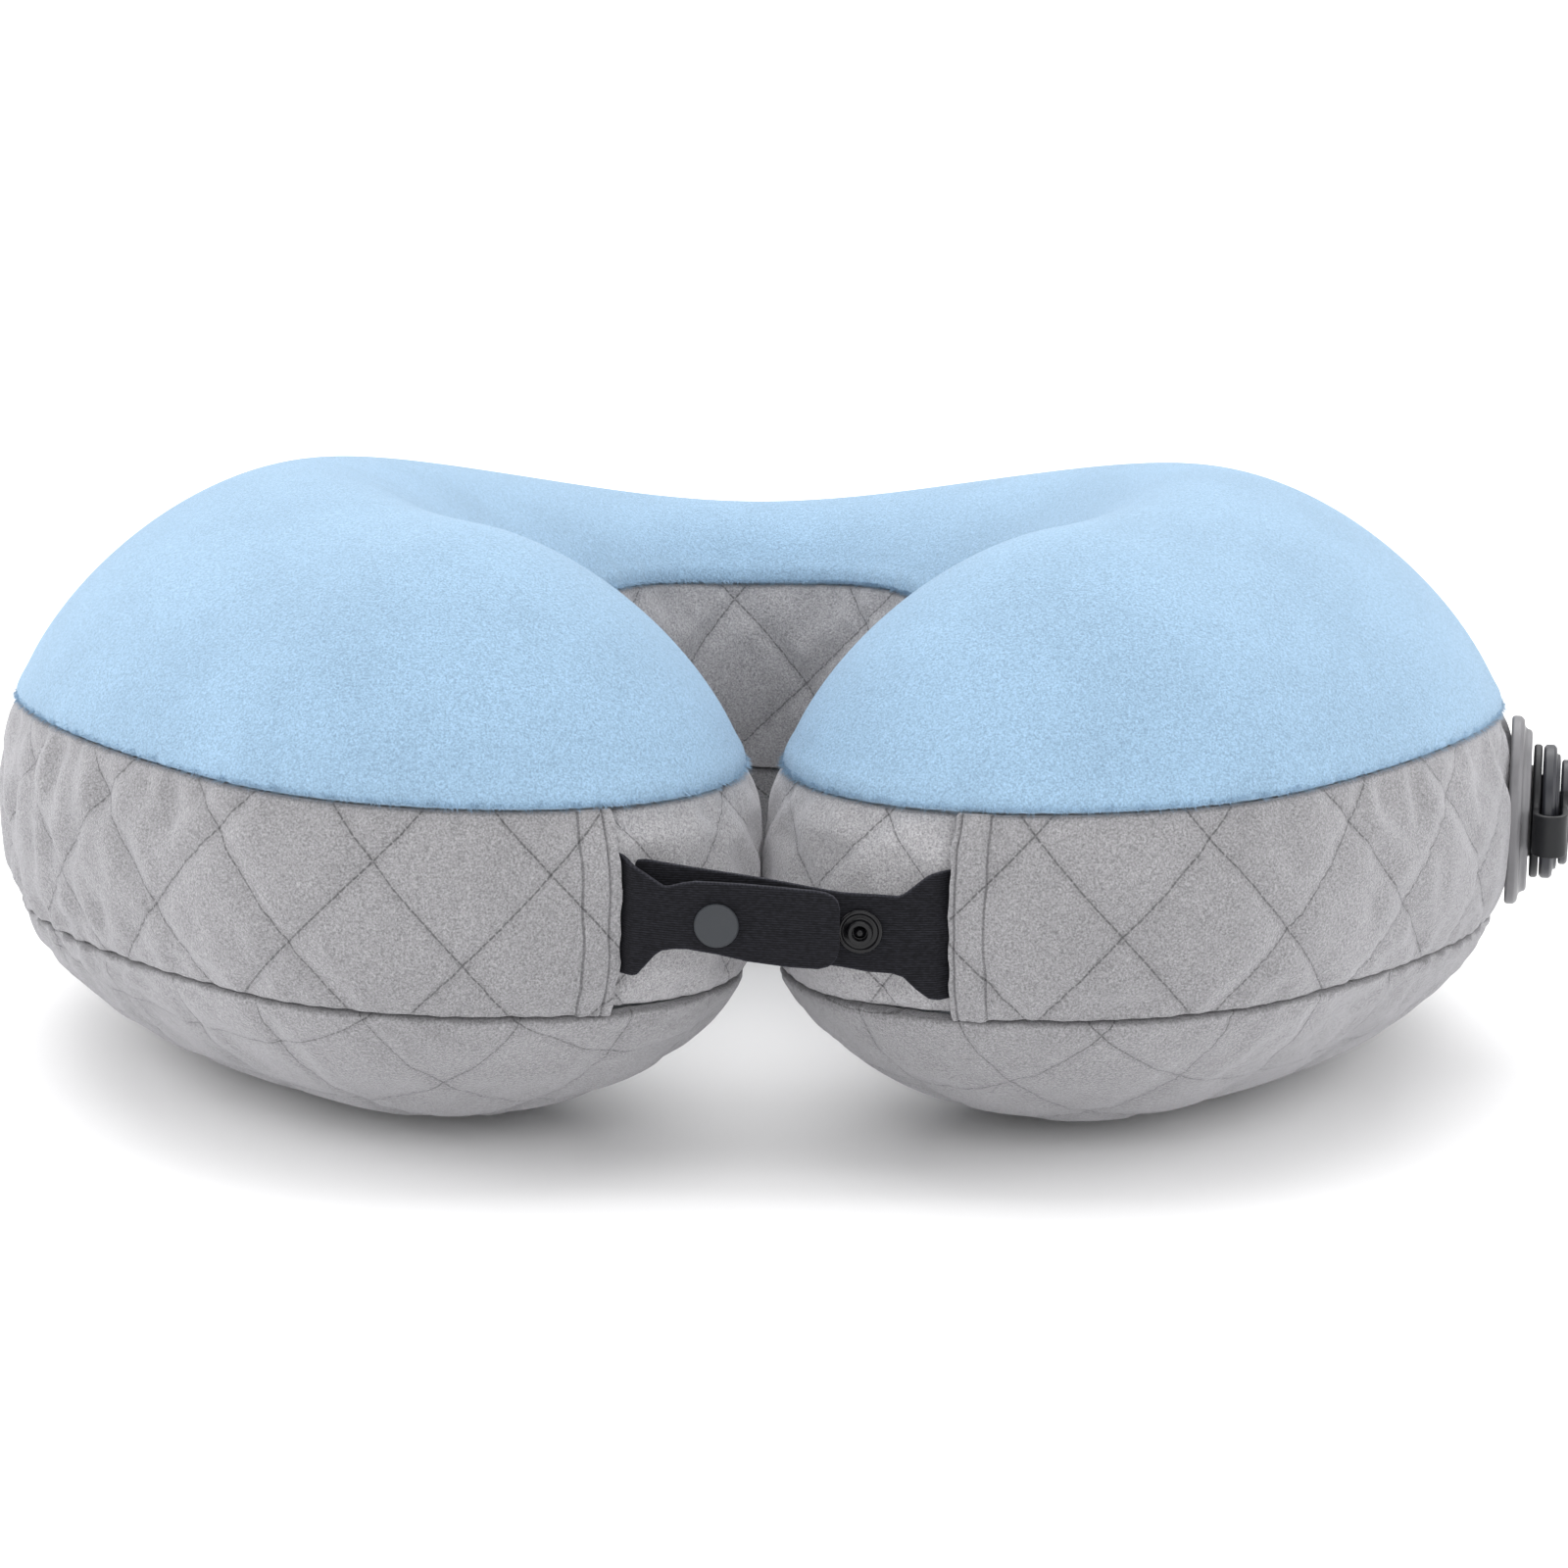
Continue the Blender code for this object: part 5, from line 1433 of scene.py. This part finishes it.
def pin(radius, length, middle):
    """A round pin along the zip, from its size and its middle in millimetres."""
    clear_selection()
    bpy.ops.mesh.primitive_cylinder_add(vertices=24, radius=radius * MM, depth=length * MM)
    item = bpy.context.object
    place_mesh(item, Matrix.Translation(Vector(middle) * MM) @ Matrix.Rotation(math.pi / 2, 4, "Y"))
    return item


def joined(name, pieces, matrix):
    clear_selection()
    for piece in pieces:
        piece.select_set(True)
    bpy.context.view_layer.objects.active = pieces[0]
    bpy.ops.object.join()
    item = bpy.context.object
    item.name = item.data.name = name
    place_mesh(item, matrix)
    return item


# %% Slider and pull
to_pull = Vector(joints["pull_swing"]["pos_m"]) - ZIP_CENTRE
slider_place = along_zip(math.atan2(to_pull.x, to_pull.y))
PIN_STAND = (to_pull.length - ZIP_RADIUS) / MM
slider = [bar((9.0, 0.9, 4.8), (0, 1.75, 0), 0.4), bar((9.0, 0.9, 3.8), (0, -1.75, 0), 0.4),
          bar((7.5, 3.2, 0.55), (0, 0, 0), 0.1)]
slider += [bar((0.8, 2.6, 1.8), (x, PIN_STAND - 0.6, 0), 0.3) for x in (-3.2, 3.2)]
slider.append(pin(0.25, 6.6, (0, PIN_STAND, 0)))
ride_for(joined("zip_slider_body", slider, slider_place), "zip_slider", "slider", zip_metal)
pull = [bar((1.35, 1.2, 16.0), (x, 0, -7.1), 0.35) for x in (-1.82, 1.82)]
pull += [bar((4.6, 1.1, 0.5), (0, 0, 0.62), 0.2), bar((4.6, 1.1, 0.9), (0, 0, -0.85), 0.2)]
pull.append(bar((5.0, 1.2, 8.2), (0, 0, -17.9), 0.45))
pull_place = slider_place @ Matrix.Translation((0, PIN_STAND * MM, 0))
ride_for(joined("zip_pull_frame", pull, pull_place), "zip_pull", "pull", zip_metal)

# %% [markdown]
# ## CAD parts that stay
# The bladder, the tapes, the stops and the valve's inner parts have the right shape already, so they
# only get their finish. The bladder's film is smooth, slightly cloudy vinyl.

# %% Dress the CAD parts
tree, shader = new_finish("clear_vinyl_film", Roughness=0.28, Transmission_Weight=0.25, IOR=1.5)
tint(tree, shader, (0.60, 0.64, 0.68), ramp(tree, noise(tree, 30, 3, 0.6), 0.3, 0.7, 0.94, 1.06))
bump(tree, shader, noise(tree, 90, 3, 0.6), 0.3 * MM, 0.3)
film = finish_of(tree)
carried = {
    "bladder_upper_sheet": film, "bladder_lower_sheet": film, "bladder_side_wall": film,
    "valve_neck": valve_light, "flap_seat": valve_light,
    "plug_o_ring": soft_black, "one_way_flap": soft_black,
    "zip_tape_upper": zip_grey, "zip_tape_lower": zip_grey,
    "zip_stop_left": zip_metal, "zip_stop_right": zip_metal,
}
for node, material in carried.items():
    dress(frame["nodes"][node], material)
print(len(carried), "CAD parts dressed")

# %% [markdown]
# ## Floor and light
# The pillow stands on a plain pale floor in soft studio light: a bright surround for the pale edges, one
# large softbox above and slightly in front, and a weaker one on each side.

# %% Stage
clear_selection()
bpy.ops.mesh.primitive_plane_add(size=6, location=(0, 0, 0))
floor = bpy.context.object
floor.name = floor.data.name = "studio_floor"
tree, shader = new_finish("pale_floor", Roughness=0.9, Specular_IOR_Level=0.1)
tint(tree, shader, (0.94, 0.94, 0.943), ramp(tree, noise(tree, 3, 2), 0.3, 0.7, 0.99, 1.01))
dress(floor, finish_of(tree))
place_mesh(floor, Matrix.Identity(4))
floor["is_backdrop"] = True

world = bpy.data.worlds.new("studio")
bpy.context.scene.world = world
world.use_nodes = True
surround = world.node_tree.nodes["Background"]
surround.inputs["Color"].default_value = (1.0, 1.0, 1.0, 1.0)
surround.inputs["Strength"].default_value = 0.75


def softbox(name, place, target, size, power):
    data = bpy.data.lights.new(name, "AREA")
    data.shape = "RECTANGLE"
    data.size, data.size_y = size
    data.energy = power
    item = bpy.data.objects.new(name, data)
    aim = (Vector(place) - Vector(target)).to_track_quat("Z", "Y")
    item.matrix_world = Matrix.Translation(place) @ aim.to_matrix().to_4x4()
    bpy.context.scene.collection.objects.link(item)


softbox("top_softbox", (0.0, 0.1, 1.5), (0, 0, 0.05), (1.6, 1.2), 13)
softbox("front_softbox", (0.15, -1.5, 0.75), (0, 0, 0.08), (1.4, 0.9), 9)
softbox("left_softbox", (-1.3, -0.2, 0.6), (0, 0, 0.07), (0.9, 1.2), 9)
softbox("right_softbox", (1.3, -0.3, 0.6), (0, 0, 0.07), (0.9, 1.2), 6)
softbox("floor_softbox", (0.0, 1.7, 1.6), (0, 1.3, 0), (3.0, 1.2), 34)
bpy.context.scene.view_settings.view_transform = "Standard"

# %% Sizes and finish
def plain(box):
    return [[float(value) for value in corner] for corner in box]


sizes = {"cad": plain(cad_box), "visual": plain(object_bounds())}
print("size:", sizes)
